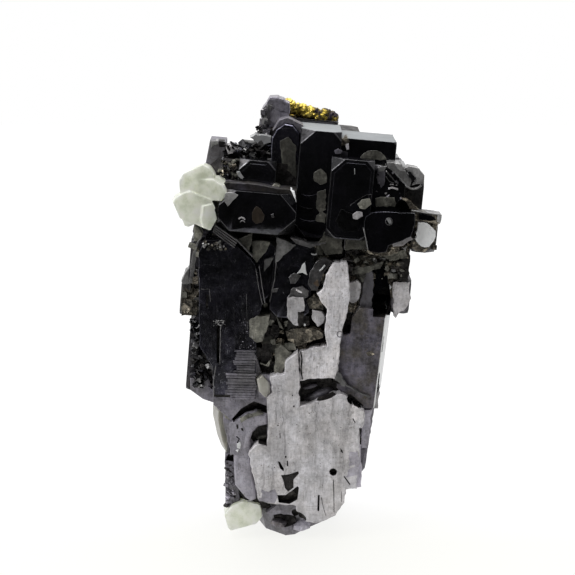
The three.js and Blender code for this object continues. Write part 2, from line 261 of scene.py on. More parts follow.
# The finishes of galena: base, cloud and speck colour, lowest and highest roughness, and the rest.
# The glossy finishes (mirror, veiled, rim, facet, dusky and black) have bases far darker than galena's own
# lead grey: the dark side of the room that the front faces mirror is painted into their colour, a painted
# reflection. Dusky and black are darker copies again, used as painted shade, and bright also serves as
# painted highlight.
GALENA_FINISHES = {
    "mirror": ((0.064, 0.065, 0.072), (0.1, 0.095, 0.125), (0.3, 0.3, 0.33), (0.08, 0.16),
               dict(metallic=0.955, clouds=0.7, specks=0.25, dots=0.45, bump=0.06, grit=0.3, wave=0.05)),
    "veiled": ((0.072, 0.072, 0.085), (0.13, 0.125, 0.175), (0.5, 0.5, 0.55), (0.14, 0.28),
               dict(metallic=0.945, clouds=0.8, specks=0.3, dots=0.9, bump=0.1, across=0.1, wave=0.05)),
    "facet": ((0.115, 0.112, 0.115), (0.15, 0.145, 0.147), (0.3, 0.3, 0.3), (0.24, 0.42),
              dict(metallic=0.85, clouds=0.7, mottle=0.5, bump=0.25, wave=0.3)),
    "rim": ((0.07, 0.07, 0.074), (0.12, 0.115, 0.125), (0.03, 0.03, 0.03), (0.24, 0.4),
            dict(bump=0.15, mottle=0.6, wave=0.2)),
    "dusky": ((0.032, 0.032, 0.034), (0.045, 0.044, 0.048), (0.08, 0.08, 0.08), (0.2, 0.36),
              dict(metallic=0.85, bump=0.12, wave=0.2)),
    "black": ((0.008, 0.008, 0.01), (0.014, 0.013, 0.018), (0.05, 0.05, 0.05), (0.15, 0.3),
              dict(metallic=0.9, specks=0.3, bump=0.1, wave=0.2)),
    "satin": ((0.22, 0.218, 0.216), (0.28, 0.275, 0.28), (0.12, 0.11, 0.1), (0.3, 0.5),
              dict(metallic=0.4, mottle=0.5, dots=0.5, bump=0.35, wave=0.4)),
    "frosted": ((0.275, 0.29, 0.3), (0.32, 0.335, 0.35), (0.15, 0.15, 0.15), (0.5, 0.65),
                dict(metallic=0.15, specks=0.15, dots=0.5, mottle=0.08, bump=0.1)),
    "etched": ((0.53, 0.508, 0.515), (0.62, 0.612, 0.65), (0.2, 0.175, 0.155), (0.42, 0.62),
               dict(metallic=0.15, clouds=0.8, specks=0.5, dots=0.8, mottle=0.36, bump=0.8, across=0.1,
                    wave=0.45)),
    "violet": ((0.15, 0.143, 0.155), (0.205, 0.195, 0.245), (0.06, 0.052, 0.045), (0.36, 0.55),
               dict(metallic=0.4, dots=0.8, mottle=0.5, bump=0.6, across=0.15, wave=0.25)),
    "lilac": ((0.29, 0.275, 0.31), (0.34, 0.33, 0.385), (0.1, 0.09, 0.09), (0.4, 0.55),
              dict(metallic=0.25, specks=0.5, dots=0.7, bump=0.6, across=0.15, wave=0.3)),
    "mottled": ((0.08, 0.071, 0.064), (0.15, 0.14, 0.18), (0.2, 0.155, 0.085), (0.36, 0.6),
                dict(metallic=0.4, clouds=1, specks=0.35, mottle=0.7, bump=0.5, wave=0.2)),
    "granular": ((0.087, 0.076, 0.06), (0.155, 0.138, 0.11), (0.25, 0.23, 0.19), (0.2, 0.55),
                 dict(metallic=0.5, clouds=0.9, specks=0.35, mottle=0.6, bump=0.6, grit=0.7, wave=0.3,
                      chips=0.9)),
    "olive": ((0.128, 0.126, 0.109), (0.18, 0.174, 0.148), (0.035, 0.03, 0.026), (0.3, 0.5),
              dict(metallic=0.3, clouds=0.9, dots=0.5, mottle=0.6, bump=0.5, wave=0.3, chips=0.22)),
    "bright": ((0.7, 0.71, 0.72), (0.8, 0.8, 0.8), (0.35, 0.33, 0.3), (0.35, 0.5),
               dict(metallic=0.2, clouds=0.5, specks=0.3, mottle=0.15, wave=0.2)),
    "rusty": ((0.07, 0.05, 0.035), (0.11, 0.08, 0.055), (0.05, 0.045, 0.04), (0.3, 0.5),
              dict(metallic=0.4, clouds=0.9, mottle=0.4, wave=0.2)),
    "pit": ((0.012, 0.01, 0.01), (0.03, 0.027, 0.025), (0.1, 0.09, 0.08), (0.3, 0.7),
            dict(metallic=0.5, clouds=0.9, mottle=0.5, bump=0.8, grit=0.8, wave=0.2, chips=0.6)),
}
# The finishes of calcite: dark, middle and light colour, and the share of light that passes through.
CALCITE_FINISHES = {
    "cloudy calcite": ((0.68, 0.71, 0.58), (0.9, 0.92, 0.81), (0.98, 0.98, 0.92), 0.35),
    "clear calcite": ((0.45, 0.435, 0.375), (0.58, 0.56, 0.5), (0.72, 0.7, 0.63), 0.4),
    "stained calcite": ((0.23, 0.22, 0.19), (0.3, 0.29, 0.25), (0.4, 0.385, 0.34), 0.3),
}
CALCITE_IOR = 1.6


def calcite_finish(name, dark, middle, light, clearness):
    """Cloudy calcite: part of the light passes through, the rest is scattered in the milky crystal."""
    material, tree, shader = new_material(
        name, 0, IOR=CALCITE_IOR, Transmission_Weight=clearness, Subsurface_Weight=0.5,
        Subsurface_Scale=2 * MM, Subsurface_Radius=(1, 1, 0.9))
    place = object_place(tree)
    clouds = noise(tree, place, size=1.5, detail=5, roughness=0.62)
    plug(tree, shader["Base Color"], ramp(tree, clouds, [(0.36, dark), (0.52, middle), (0.68, light)]))
    plug(tree, shader["Roughness"], map_range(tree, clouds, 0.35, 0.65, 0.3, 0.45))
    cracks = noise(tree, place, size=1.1, detail=3, roughness=0.5, stretch=(1, 1, 0.5))
    plug(tree, shader["Normal"], bumped(tree, cracks, strength=0.35, distance=0.3))
    return material


BRASS_SHADES = [(0.38, (0.05, 0.04, 0.055)), (0.46, (0.13, 0.105, 0.035)), (0.54, (0.46, 0.345, 0.055)),
                (0.65, (0.8, 0.62, 0.16))]


def brass_finish():
    """Tarnished chalcopyrite: violet and olive to brass yellow, lighter and yellower towards the left end."""
    material, tree, shader = new_material("tarnished_chalcopyrite", 0.9)
    place = object_place(tree)
    along = add_node(tree, "SeparateXYZ", {0: place}).outputs["X"]
    # Darker and more violet towards the right end, lighter and yellower towards the left.
    lighter_leftwards = map_range(tree, along, -MM, 4 * MM, 0.13, -0.09)
    patches = maths(tree, "ADD", noise(tree, place, size=0.9, detail=5, roughness=0.7), lighter_leftwards)
    plug(tree, shader["Base Color"], ramp(tree, patches, BRASS_SHADES))
    plug(tree, shader["Roughness"], map_range(tree, patches, 0.35, 0.65, 0.55, 0.25))
    grit = noise(tree, place, size=0.3, roughness=0.65)
    plug(tree, shader["Normal"], bumped(tree, grit, strength=0.8, distance=0.15))
    return material


FINISHES = {name: galena_finish("galena_" + name, *colours, **rest)
            for name, (*colours, rest) in GALENA_FINISHES.items()}
for name, colours in CALCITE_FINISHES.items():
    FINISHES[name] = calcite_finish(name.replace(" ", "_"), *colours)
FINISHES["brass"] = brass_finish()
FINISH_ORDER = list(FINISHES)


# Modelling

FRONT = Vector((0, -1, 0))
BACK = Vector((0, 1, 0))
LEFT = Vector((-1, 0, 0))
RIGHT = Vector((1, 0, 0))
TOP = Vector((0, 0, 1))


def only(piece):
    bpy.ops.object.select_all(action="DESELECT")
    piece.select_set(True)
    bpy.context.view_layer.objects.active = piece


def fresh(add, scale=(1, 1, 1), **settings):
    """A new piece of one of the plain shapes."""
    bpy.ops.object.select_all(action="DESELECT")
    add(**settings)
    piece = bpy.context.object
    piece.scale = scale
    bpy.ops.object.transform_apply(location=False, rotation=False, scale=True)
    return piece


def edit_start(piece, mode="VERT"):
    only(piece)
    bpy.ops.object.mode_set(mode="EDIT")
    bpy.ops.mesh.select_mode(type=mode)
    bpy.ops.mesh.select_all(action="DESELECT")


def edit_end():
    bpy.ops.object.mode_set(mode="OBJECT")


def pick(piece, kind, test):
    """Selects the vertices, edges or faces that pass a test."""
    shape = bmesh.from_edit_mesh(piece.data)
    for element in getattr(shape, kind):
        element.select_set(test(element))
    if kind == "verts":
        shape.select_flush(False)
    bmesh.update_edit_mesh(piece.data)


def give_finish(piece, finish):
    piece.data.materials.clear()
    for name in FINISH_ORDER:
        piece.data.materials.append(FINISHES[name])
    index = FINISH_ORDER.index(finish)
    piece.data.polygons.foreach_set("material_index", [index] * len(piece.data.polygons))


def paint(piece, finish, direction, least=0.9):
    """Gives one finish to the faces that look in a direction."""
    index = FINISH_ORDER.index(finish)
    for face in piece.data.polygons:
        if face.normal.dot(direction) > least:
            face.material_index = index


def give_tone(piece, tone):
    layer = piece.data.attributes.new("tone", "FLOAT", "FACE")
    layer.data.foreach_set("value", [tone] * len(piece.data.polygons))


def settle(piece, place, roll=0, yaw=0, pitch=0):
    only(piece)
    piece.rotation_euler = (math.radians(pitch), math.radians(roll), math.radians(yaw))
    piece.location = place
    bpy.ops.object.transform_apply(location=True, rotation=True, scale=True)


def put_away(piece):
    """Takes a finished block out of view until it is joined to the rest."""
    for group in piece.users_collection:
        group.objects.unlink(piece)
    return piece


def store(piece, tone):
    give_tone(piece, tone)
    return put_away(piece)


def apply_step(piece, kind, **settings):
    """Adds one modifier and applies it."""
    only(piece)
    step = piece.modifiers.new("step", kind)
    for name, value in settings.items():
        setattr(step, name, value)
    bpy.ops.object.modifier_apply(modifier=step.name)


def combine(mass, others, operation):
    """Joins many solids to one, or cuts them all out of it."""
    if not mass.users_collection:
        bpy.context.collection.objects.link(mass)
    if not others:
        return
    tray = bpy.data.collections.new("tray")
    for piece in others:
        tray.objects.link(piece)
    apply_step(mass, "BOOLEAN", operation=operation, solver="MANIFOLD", operand_type="COLLECTION",
               collection=tray)
    bpy.data.collections.remove(tray)
    for piece in others:
        shape = piece.data
        bpy.data.objects.remove(piece)
        bpy.data.meshes.remove(shape)


def fuse(pieces):
    mass, *others = pieces
    combine(mass, others, "UNION")
    return mass


def drop_crumbs(piece):
    """Takes away loose grains and closed hollows: all that isn't joined to the lowest point."""
    lowest = min(vertex.co.z for vertex in piece.data.vertices)
    edit_start(piece)
    pick(piece, "verts", lambda vert: vert.co.z < lowest + 0.01)
    bpy.ops.mesh.select_linked()
    bpy.ops.mesh.select_all(action="INVERT")
    bpy.ops.mesh.delete(type="VERT")
    edit_end()


# The width of a rim, and the most that a rim and a corner cut may take of half the smallest side.
RIM = 0.13
RIM_LIMIT = 0.2
CORNER_LIMIT = 0.85
# How much of a front corner's cut the corner behind it gets.
HIDDEN_CORNER = 0.4
# Growth steps: how far each one stands in from the edge, and how high it is.
STEP_MARGIN = 0.32
STEP = 0.012


def cut_corners(piece, corner, limit, facets, front):
    """Cuts the octahedron faces, one size and finish for each corner of the front: top left, then
    clockwise. The corners of the other end are cut less."""
    sizes = corner if isinstance(corner, tuple) else (corner,) * 4
    quarters = ((-1, 1), (1, 1), (1, -1), (-1, -1))
    for (side, rise), size, finish in zip(quarters, sizes, facets):
        for layer, share in ((front, 1), (-front, HIDDEN_CORNER)):
            edit_start(piece)
            pick(piece, "verts", lambda vert: vert.co.x * side > 0 and vert.co.z * rise > 0
                 and vert.co.y * layer > 0)
            bpy.ops.mesh.bevel(offset=min(size * share, limit), affect="VERTICES",
                               material=FINISH_ORDER.index(finish))
            edit_end()


def round_rims(piece, rim):
    edit_start(piece, "EDGE")
    bpy.ops.mesh.select_all(action="SELECT")
    bpy.ops.mesh.bevel(offset=rim, segments=2, affect="EDGES", material=FINISH_ORDER.index("rim"))
    edit_end()


def growth_steps(piece, count, rise, facing):
    """Low terraces on the widest face that looks in a direction, as long as its sides leave room."""
    for _ in range(count):
        edit_start(piece, "FACE")
        shape = bmesh.from_edit_mesh(piece.data)
        faces = [face for face in shape.faces if face.normal.dot(facing) > 0.999]
        widest = max(faces, key=lambda face: face.calc_area())
        if min(edge.calc_length() for edge in widest.edges) > STEP_MARGIN + rise:
            widest.select_set(True)
            bmesh.update_edit_mesh(piece.data)
            bpy.ops.mesh.inset(thickness=STEP_MARGIN)
            bpy.ops.mesh.inset(thickness=rise)
            bpy.ops.transform.translate(value=facing * rise)
        edit_end()


def crystal(x, z, front, width, height, depth, corner, finish="mirror", facets=("facet",) * 4, lid=None,
            rim=RIM, steps=0, step=STEP, tone=0.5, facing=FRONT):
    """A cube of galena with cut corners, bright rims and growth steps. x, z and front place the
    middle of its front face, as in the solids."""
    piece = fresh(bpy.ops.mesh.primitive_cube_add, (width, depth, height), size=1)
    give_finish(piece, finish)
    smallest = min(width, depth, height) / 2
    cut_corners(piece, corner, CORNER_LIMIT * smallest, facets, 1 if facing == BACK else -1)
    if rim:
        round_rims(piece, min(rim, RIM_LIMIT * smallest))
    growth_steps(piece, steps, step, facing)
    # Painted shade: the faces that look down get the dark dusky finish.
    paint(piece, "dusky", -TOP, 0.3)
    # A lid gives the faces that look up a lighter, duller finish: partly the surface's own dullness, partly
    # painted light from above.
    if lid:
        paint(piece, lid, TOP)
    piece.data.transform(Matrix.Translation((0, depth / 2, 0)))
    settle(piece, (x, front, z), LATTICE_ROLL)
    return store(piece, tone)


def dice_of(seed):
    """The same run of numbers as the solids use, so that strewn crystals fall in the same places."""
    state = seed

    def between(low, high):
        nonlocal state
        state = (state * 1664525 + 1013904223) % 2 ** 32
        return low + (high - low) * state / 2 ** 32

    return between


# The corner cut of a strewn crystal, as a share of its smallest side.
FLANK_CORNER = 0.2


def flank(seed, count, low, high, least, most, finishes, facing):
    """Crystals of mixed size that stand out of a side, the back or the top."""
    between = dice_of(seed)
    looks = random.Random(seed)
    found = []
    for _ in range(count):
        x, y, z = [between(start, end) for start, end in zip(low, high)]
        width, depth, height = [between(least, most) for _ in range(3)]
        corner = FLANK_CORNER * min(width, depth, height)
        found.append(crystal(x, z, y - depth / 2, width, height, depth, corner, finish=looks.choice(finishes),
                             steps=looks.randint(1, 3), step=looks.uniform(0.03, 0.1),
                             tone=looks.uniform(0.2, 0.8), facing=facing))
    return found


# How far the small breaks of a ragged edge lie apart.
BREAK_PITCH = 0.45


def around(outline):
    """Each side of an outline: its start and its end."""
    return zip(outline, outline[1:] + outline[:1])


def ragged(outline, jitter, seed):
    """An outline with small breaks along its edges."""
    dice = random.Random(seed)
    points = []
    for (x, z), (next_x, next_z) in around(outline):
        parts = max(1, round(math.hypot(next_x - x, next_z - z) / BREAK_PITCH))
        for part in range(parts):
            along = part / parts
            slip = jitter if part else 0
            points.append((x + (next_x - x) * along + dice.uniform(-slip, slip),
                           z + (next_z - z) * along + dice.uniform(-slip, slip)))
    return points


def sheet(points, finish):
    """A flat face through points, each an x, y and z. It is left selected in edit mode."""
    piece = fresh(bpy.ops.mesh.primitive_circle_add, vertices=len(points), radius=1, fill_type="NGON")
    for vertex, point in zip(piece.data.vertices, points):
        vertex.co = point
    give_finish(piece, finish)
    edit_start(piece, "FACE")
    bpy.ops.mesh.select_all(action="SELECT")
    return piece


def slab(outline, front, depth=2, finish="etched", rim=0.06, tone=0.5, yaw=0, pitch=0, break_up=0, seed=0,
         side=None, rim_steps=1):
    """A flat plate drawn by its outline in x and z, from its front face back to its depth."""
    points = ragged(outline, break_up, seed) if break_up else outline
    middle_x = sum(x for x, z in points) / len(points)
    middle_z = sum(z for x, z in points) / len(points)
    piece = sheet([(x - middle_x, 0, z - middle_z) for x, z in points], finish)
    bpy.ops.mesh.extrude_region_move(TRANSFORM_OT_translate={"value": (0, depth, 0)})
    bpy.ops.mesh.select_all(action="SELECT")
    bpy.ops.mesh.normals_make_consistent(inside=False)
    if rim:
        bpy.ops.mesh.select_mode(type="EDGE")
        pick(piece, "edges", lambda edge: max(abs(vert.co.y) for vert in edge.verts) < 1e-4)
        bpy.ops.mesh.bevel(offset=rim, segments=rim_steps, affect="EDGES", clamp_overlap=True)
    edit_end()
    # The faces that look right can take a finish of their own; the side plate's are bright, a painted
    # reflection of the white room.
    if side:
        paint(piece, side, RIGHT, 0.7)
    settle(piece, (middle_x, front, middle_z), 0, yaw, pitch)
    return store(piece, tone)


def lump(x, y, z, radius, wide=1, flat=1, turn=0, finish="pit", tone=0.5, detail=3):
    """A rounded lump: the shape of a hollow, or one knob of a crust."""
    size = (radius * wide, radius, radius * flat)
    piece = fresh(bpy.ops.mesh.primitive_ico_sphere_add, size, subdivisions=detail, radius=1)
    give_finish(piece, finish)
    settle(piece, (x, y, z), turn)
    return store(piece, tone)


def ring(x, z, front, radius, thickness, finish, tone):
    piece = fresh(bpy.ops.mesh.primitive_torus_add, major_radius=radius, minor_radius=thickness,
                  major_segments=24, minor_segments=6)
    give_finish(piece, finish)
    settle(piece, (x, front, z), pitch=90)
    return store(piece, tone)


GRAIN_CORNER = 0.12


def grain_template():
    """One small crystal, copied for every grain."""
    piece = fresh(bpy.ops.mesh.primitive_cube_add, size=1)
    edit_start(piece)
    bpy.ops.mesh.select_all(action="SELECT")
    bpy.ops.mesh.bevel(offset=GRAIN_CORNER, affect="VERTICES")
    edit_end()
    return put_away(piece)


def grains(template, seed, count, low, high, size, finishes, spread=14, thin=1):
    """Small crystals strewn in a box, half sunk in what they grew on."""
    dice = random.Random(seed)
    found = []
    for _ in range(count):
        piece = bpy.data.objects.new("grain", template.data.copy())
        give_finish(piece, dice.choice(finishes))
        edge = size * dice.uniform(0.4, 1) ** 2 * 1.6
        sides = [edge * dice.uniform(0.7, 1.3) * share for share in (1, 1, thin)]
        turns = [math.radians(dice.uniform(-spread, spread)) for _ in range(3)]
        turns[1] += math.radians(LATTICE_ROLL)
        place = [dice.uniform(start, end) for start, end in zip(low, high)]
        piece.data.transform(Matrix.LocRotScale(place, Euler(turns), sides))
        give_tone(piece, dice.random())
        found.append(piece)
    return found


def arc(x, z, radius, start, end, count=8):
    """Points on a circle about (x, z), from one angle to another, counted up from +X."""
    angles = [math.radians(start + (end - start) * index / count) for index in range(count + 1)]
    return [(x + radius * math.cos(angle), z + radius * math.sin(angle)) for angle in angles]


def band(points, width):
    """The outline of a strip of one width along a line of points."""
    left = []
    right = []
    for index, (x, z) in enumerate(points):
        before = points[max(index - 1, 0)]
        after = points[min(index + 1, len(points) - 1)]
        run_x = after[0] - before[0]
        run_z = after[1] - before[1]
        reach = width / 2 / math.hypot(run_x, run_z)
        left.append((x - run_z * reach, z + run_x * reach))
        right.append((x + run_z * reach, z - run_x * reach))
    return left + right[::-1]


# Galena

# Crystals: x, z, front, width, height, depth and the cut of the corners. Outside the heart of the
# mass, the last entry says what differs from a plain one.
HEART = [
    (0.5, 42.5, -7, 25, 11, 16, 3),
    (1, 49, -3, 13, 6, 10, 2),
    (-1.5, 29, -8, 21, 22, 16, 3),
    (-1.6, 13, -9, 13.5, 19, 15, 3),
]

# Where a crystal's corner facets get different finishes, the top left one is the lightest and the others are
# darker, down to black: painted light and shade, as the light comes from the upper left.
UPPER_CRYSTALS = [
    (1.1, 51.4, -0.4, 7.4, 3.4, 5, 0.4, dict(finish="violet", tone=0.1)),
    (2.1, 45.9, -9, 5.1, 13.4, 9.2, (1.8, 1.1, 1, 1.7), dict(tone=0.4, lid="frosted",
     facets=("rim", "black", "black", "black"))),
    (6.1, 46.9, -8.4, 11, 9.4, 8.5, (0.8, 0.4, 1, 1), dict(tone=0.32, lid="frosted")),
    (6.1, 44.4, -11.6, 5.3, 9.9, 8, (1.6, 1, 1, 1.2), dict(tone=0.4, steps=1, rim=0.1,
     facets=("dusky", "dusky", "black", "black"))),
    (10.8, 45.6, -10.8, 4.2, 5.7, 7, (1, 0.6, 1, 1), dict(tone=0.4)),
    (13.7, 44.4, -9.6, 3, 5.3, 9, (0.8, 1.2, 0.8, 0.8), dict(finish="facet", tone=0.25)),
    (-5.3, 42.75, -11.4, 9.6, 5.1, 9, (2, 2.4, 2.2, 1.6), dict(tone=0.4, rim=0.08,
     facets=("facet", "black", "dusky", "black"))),
    (-5.4, 46.6, -8.2, 4.7, 4.4, 8, (1.3, 1.1, 0.6, 0.6), dict(tone=0.7, steps=1,
     facets=("facet", "dusky", "pit", "pit"))),
    (-5.6, 48.3, -5.6, 4.3, 4, 6, 0.9, dict(finish="pit", tone=0.4)),
    (-8, 47.7, -5, 3.6, 3.6, 6, 0.6, dict(finish="pit")),
    (-8.7, 45.2, -5.2, 4.5, 5, 6, 1.1, dict(finish="pit", tone=0.6, facets=("pit",) * 4)),
    (15.5, 39.7, -10, 3, 4.4, 7, (1, 1, 1.9, 0.5), dict(finish="granular", tone=0.6)),
]

MIDDLE_CRYSTALS = [
    (-4.7, 35.1, -9, 3.1, 7.7, 6, 1, dict(finish="veiled", tone=0.4)),
    (-1, 34.1, -9.8, 5, 10, 8, (2.2, 1, 1, 1), dict(finish="veiled", tone=0.2, rim=0.05)),
    (7.6, 34.4, -8.6, 4.4, 10, 8, 0.8, dict(finish="granular")),
    (11.2, 35.5, -8.4, 4.8, 8.4, 10, 1.2, dict(finish="granular")),
    (12.7, 31.6, -8.4, 2.4, 4.4, 8, 0.6, dict(finish="violet")),
    (-12.6, 23.9, -7.4, 3.3, 9.9, 9, 0.7, dict(finish="mottled", tone=0.05)),
    (-13.7, 31, -6.6, 3, 4.6, 8, 0.5, dict(finish="olive")),
    (-12.7, 36, -7.8, 2.4, 5.6, 8, 0.6, dict(finish="violet", tone=0.2)),
]

BACK_CRYSTALS = [
    (6.5, 43.5, 1, 12, 9, 9, 1.8, {}),
    (-5.5, 42, 0, 11, 11, 9.5, 2.2, {}),
    (0.5, 35, 1, 13, 10, 10.5, 1.6, {}),
    (-7.5, 29, 1, 8, 12, 8.5, 1.5, {}),
    (5.5, 27.5, 0, 8, 12, 8.5, 1.2, {}),
    (-1, 23.5, 0, 9, 12, 9.5, 1.4, {}),
    (-5, 15, 0, 7, 12, 7, 1.2, dict(finish="violet")),
    (3, 14, 0, 8, 13, 8, 1.5, dict(finish="violet")),
    (-1.5, 9, 0, 7, 9, 8.8, 1.3, dict(finish="violet")),
    (12, 40, -4, 5, 7, 9, 1.4, {}),
    (-11.5, 39.5, -4, 4, 7, 8, 1.2, {}),
    (-11, 26, -4, 4, 9, 8, 1, {}),
]

# Outlines of the plates, in x and z.
TALL_FACE = [(-12.6, 37.6), (-11.8, 39.2), (-9.2, 39.2), (-7.6, 38.2), (-6.2, 36.9), (-5.3, 35.4),
    (-4.6, 31.4), (-5.5, 28.6), (-5.6, 18.7), (-10.9, 18.9), (-11, 23), (-12.6, 25.6)]
LOWER_PLATE = [(0, 21.3), (0, 18), (1.5, 18.3), (3.2, 19.3), (5.1, 19.6), (6.1, 19.1), (6.6, 17.9),
    (7.8, 17.5), (8.2, 17.1), (8.1, 15.5), (7.6, 14.9), (7.6, 12.2), (7.3, 7), (5.9, 6.9), (5.7, 5.1),
    (4.6, 3.5), (3.4, 2.8), (2.1, 2.4), (0, 2.8), (-0.5, 4.7), (-3, 4.9), (-5.3, 5.5), (-5.8, 8.2),
    (-6.3, 10.2), (-6.5, 11.9), (-5.8, 12.7), (-4.8, 13.4), (-4.2, 12.7), (-4, 14.9), (-4.2, 19.1),
    (-3.5, 19.7), (-3.8, 21.9), (-2, 22.2), (-1.8, 23.8), (-1, 24.5), (-0.3, 25.1)]
UPPER_PLATE = [(4.1, 36.3), (5.8, 36.4), (6.1, 34.2), (6.2, 31.6), (5.8, 29.7), (5.3, 27.7), (5, 25.8),
    (4.8, 21.3), (2.3, 21.5), (0, 21.1), (-0.1, 24.8), (1.6, 25.4), (3.4, 25.6), (3.1, 27.7), (3.4, 30.4),
    (2.7, 31.2), (2.1, 32.4), (2.9, 33.1), (3.2, 34.8)]
SIDE_PLATE = [(10.7, 29.3), (10.4, 26.4), (9.4, 17.5), (8.1, 17.5), (6.6, 18.4), (5.1, 19.6), (4.1, 20.5),
    (4.6, 21.7), (4.8, 24.8), (5.3, 26.9), (6.3, 27.1), (6.5, 29.2), (7.5, 30.5), (10.2, 30.3)]
SUMMIT = [(-3.8, 56.1), (-2.8, 56.15), (-1.3, 55.4), (-1.4, 52.8), (-1.8, 50), (-5.2, 50), (-5, 52.6),
    (-4.9, 54.3), (-4.3, 55.2)]
ARCH = [(-3.6, 50), (-3.5, 51.4), (-2.9, 52.5), (-1.9, 53.2), (-0.9, 53), (-0.1, 52), (-0.1, 44.9),
    (-1.5, 44.9), (-3, 46.8), (-3.6, 48.1)]
LEFT_SLAB = [(-11.3, 51), (-11.9, 48), (-11, 46.4), (-10, 44.6), (-8.7, 44.6), (-8.9, 46.6), (-9.5, 48),
    (-9.5, 49.4), (-9.3, 50.2), (-9.3, 50.8)]
BLACK_FACE = [(7.8, 41.8), (8, 42.5), (8.7, 43), (10, 43.1), (14, 42.9), (14, 41.6), (13.5, 40), (12.2, 39.4),
    (10.8, 38.9), (10.5, 38.1), (9.5, 38), (8.3, 38.3), (7.8, 40.4)]
LILAC_BEND = [(-8.4, 15.6), (-6.9, 16.7), (-5.65, 17.05), (-4.1, 16.7), (-4.1, 15.3), (-5.3, 15), (-6, 14.2),
    (-6.3, 13.3), (-6.3, 11.6), (-6, 8.5), (-5.5, 6), (-5.6, 5.3), (-6.3, 5), (-7, 5.5), (-8.3, 7.2),
    (-8.45, 9.5), (-8.45, 12.2), (-8.2, 13.9)]

# The degrees that the side plate is turned.
PLATE_YAW = -8

PLATES = [
    dict(outline=BLACK_FACE, front=-12.6, depth=9, finish="mirror", rim=0.03, tone=0.25, break_up=0.04),
    dict(outline=TALL_FACE, front=-10.4, depth=12, finish="veiled", rim=0.03, tone=0.3, break_up=0.06),
    dict(outline=LOWER_PLATE, front=-11, depth=6, rim=0.12, break_up=0.1, tone=0.42),
    dict(outline=UPPER_PLATE, front=-10.4, depth=4, rim=0.1, break_up=0.09, tone=0.65),
    # Its right faces are painted bright: a painted reflection.
    dict(outline=SIDE_PLATE, front=-10, depth=11, finish="mottled", yaw=PLATE_YAW, rim=0.08, tone=0.4,
     side="bright"),
    dict(outline=[(-14, 20.8), (-14, 19.2), (-12.4, 18), (-10.4, 17.3), (-10.4, 21)], front=-7.8, depth=8,
     finish="violet", tone=0.6),
    dict(outline=[(-11, 17.8), (-11, 22.9), (-8.6, 25), (-5.7, 25), (-4, 18.7), (-4.2, 16.6), (-6, 17.4),
     (-8.6, 15.6)], front=-9.8, depth=8, finish="violet", break_up=0.06, tone=0.7),
    dict(outline=[(-9.9, 17.5), (-4, 16.8), (-4, 13), (-6.7, 11.8), (-9, 12), (-9.6, 14.5)], front=-9.4,
     depth=8, finish="violet", break_up=0.08, tone=0.7),
    dict(outline=LILAC_BEND, front=-10.3, depth=8, finish="lilac", rim=0.5, rim_steps=3, tone=0.5),
    dict(outline=[(-9.6, 11), (-8.2, 11), (-7.6, 3.4), (-8.6, 2.9), (-9.6, 4.5)], front=-9, depth=9,
     finish="violet", break_up=0.06, tone=0.4),
    dict(outline=[(6.5, 18), (9.6, 17.4), (8.4, 9), (7.4, 8)], front=-8.6, depth=12, finish="violet",
     break_up=0.05, tone=0.7),
    dict(outline=SUMMIT, front=-2.6, depth=3.6, finish="violet", tone=1, break_up=0.12, rim=0.04),
    dict(outline=ARCH, front=-6.8, depth=9, finish="veiled", tone=0.5, rim=0.09),
    dict(outline=[(-10.6, 46.1), (-8.8, 46.4), (-6, 46.2), (-2.4, 45.6), (-0.4, 45.4), (-0.4, 43), (-10, 43)],
     front=-10.2, depth=6, finish="mottled", tone=0.05, break_up=0.06),
    dict(outline=LEFT_SLAB, front=-5.4, depth=5, finish="violet", tone=0.5, rim=0.1),
]

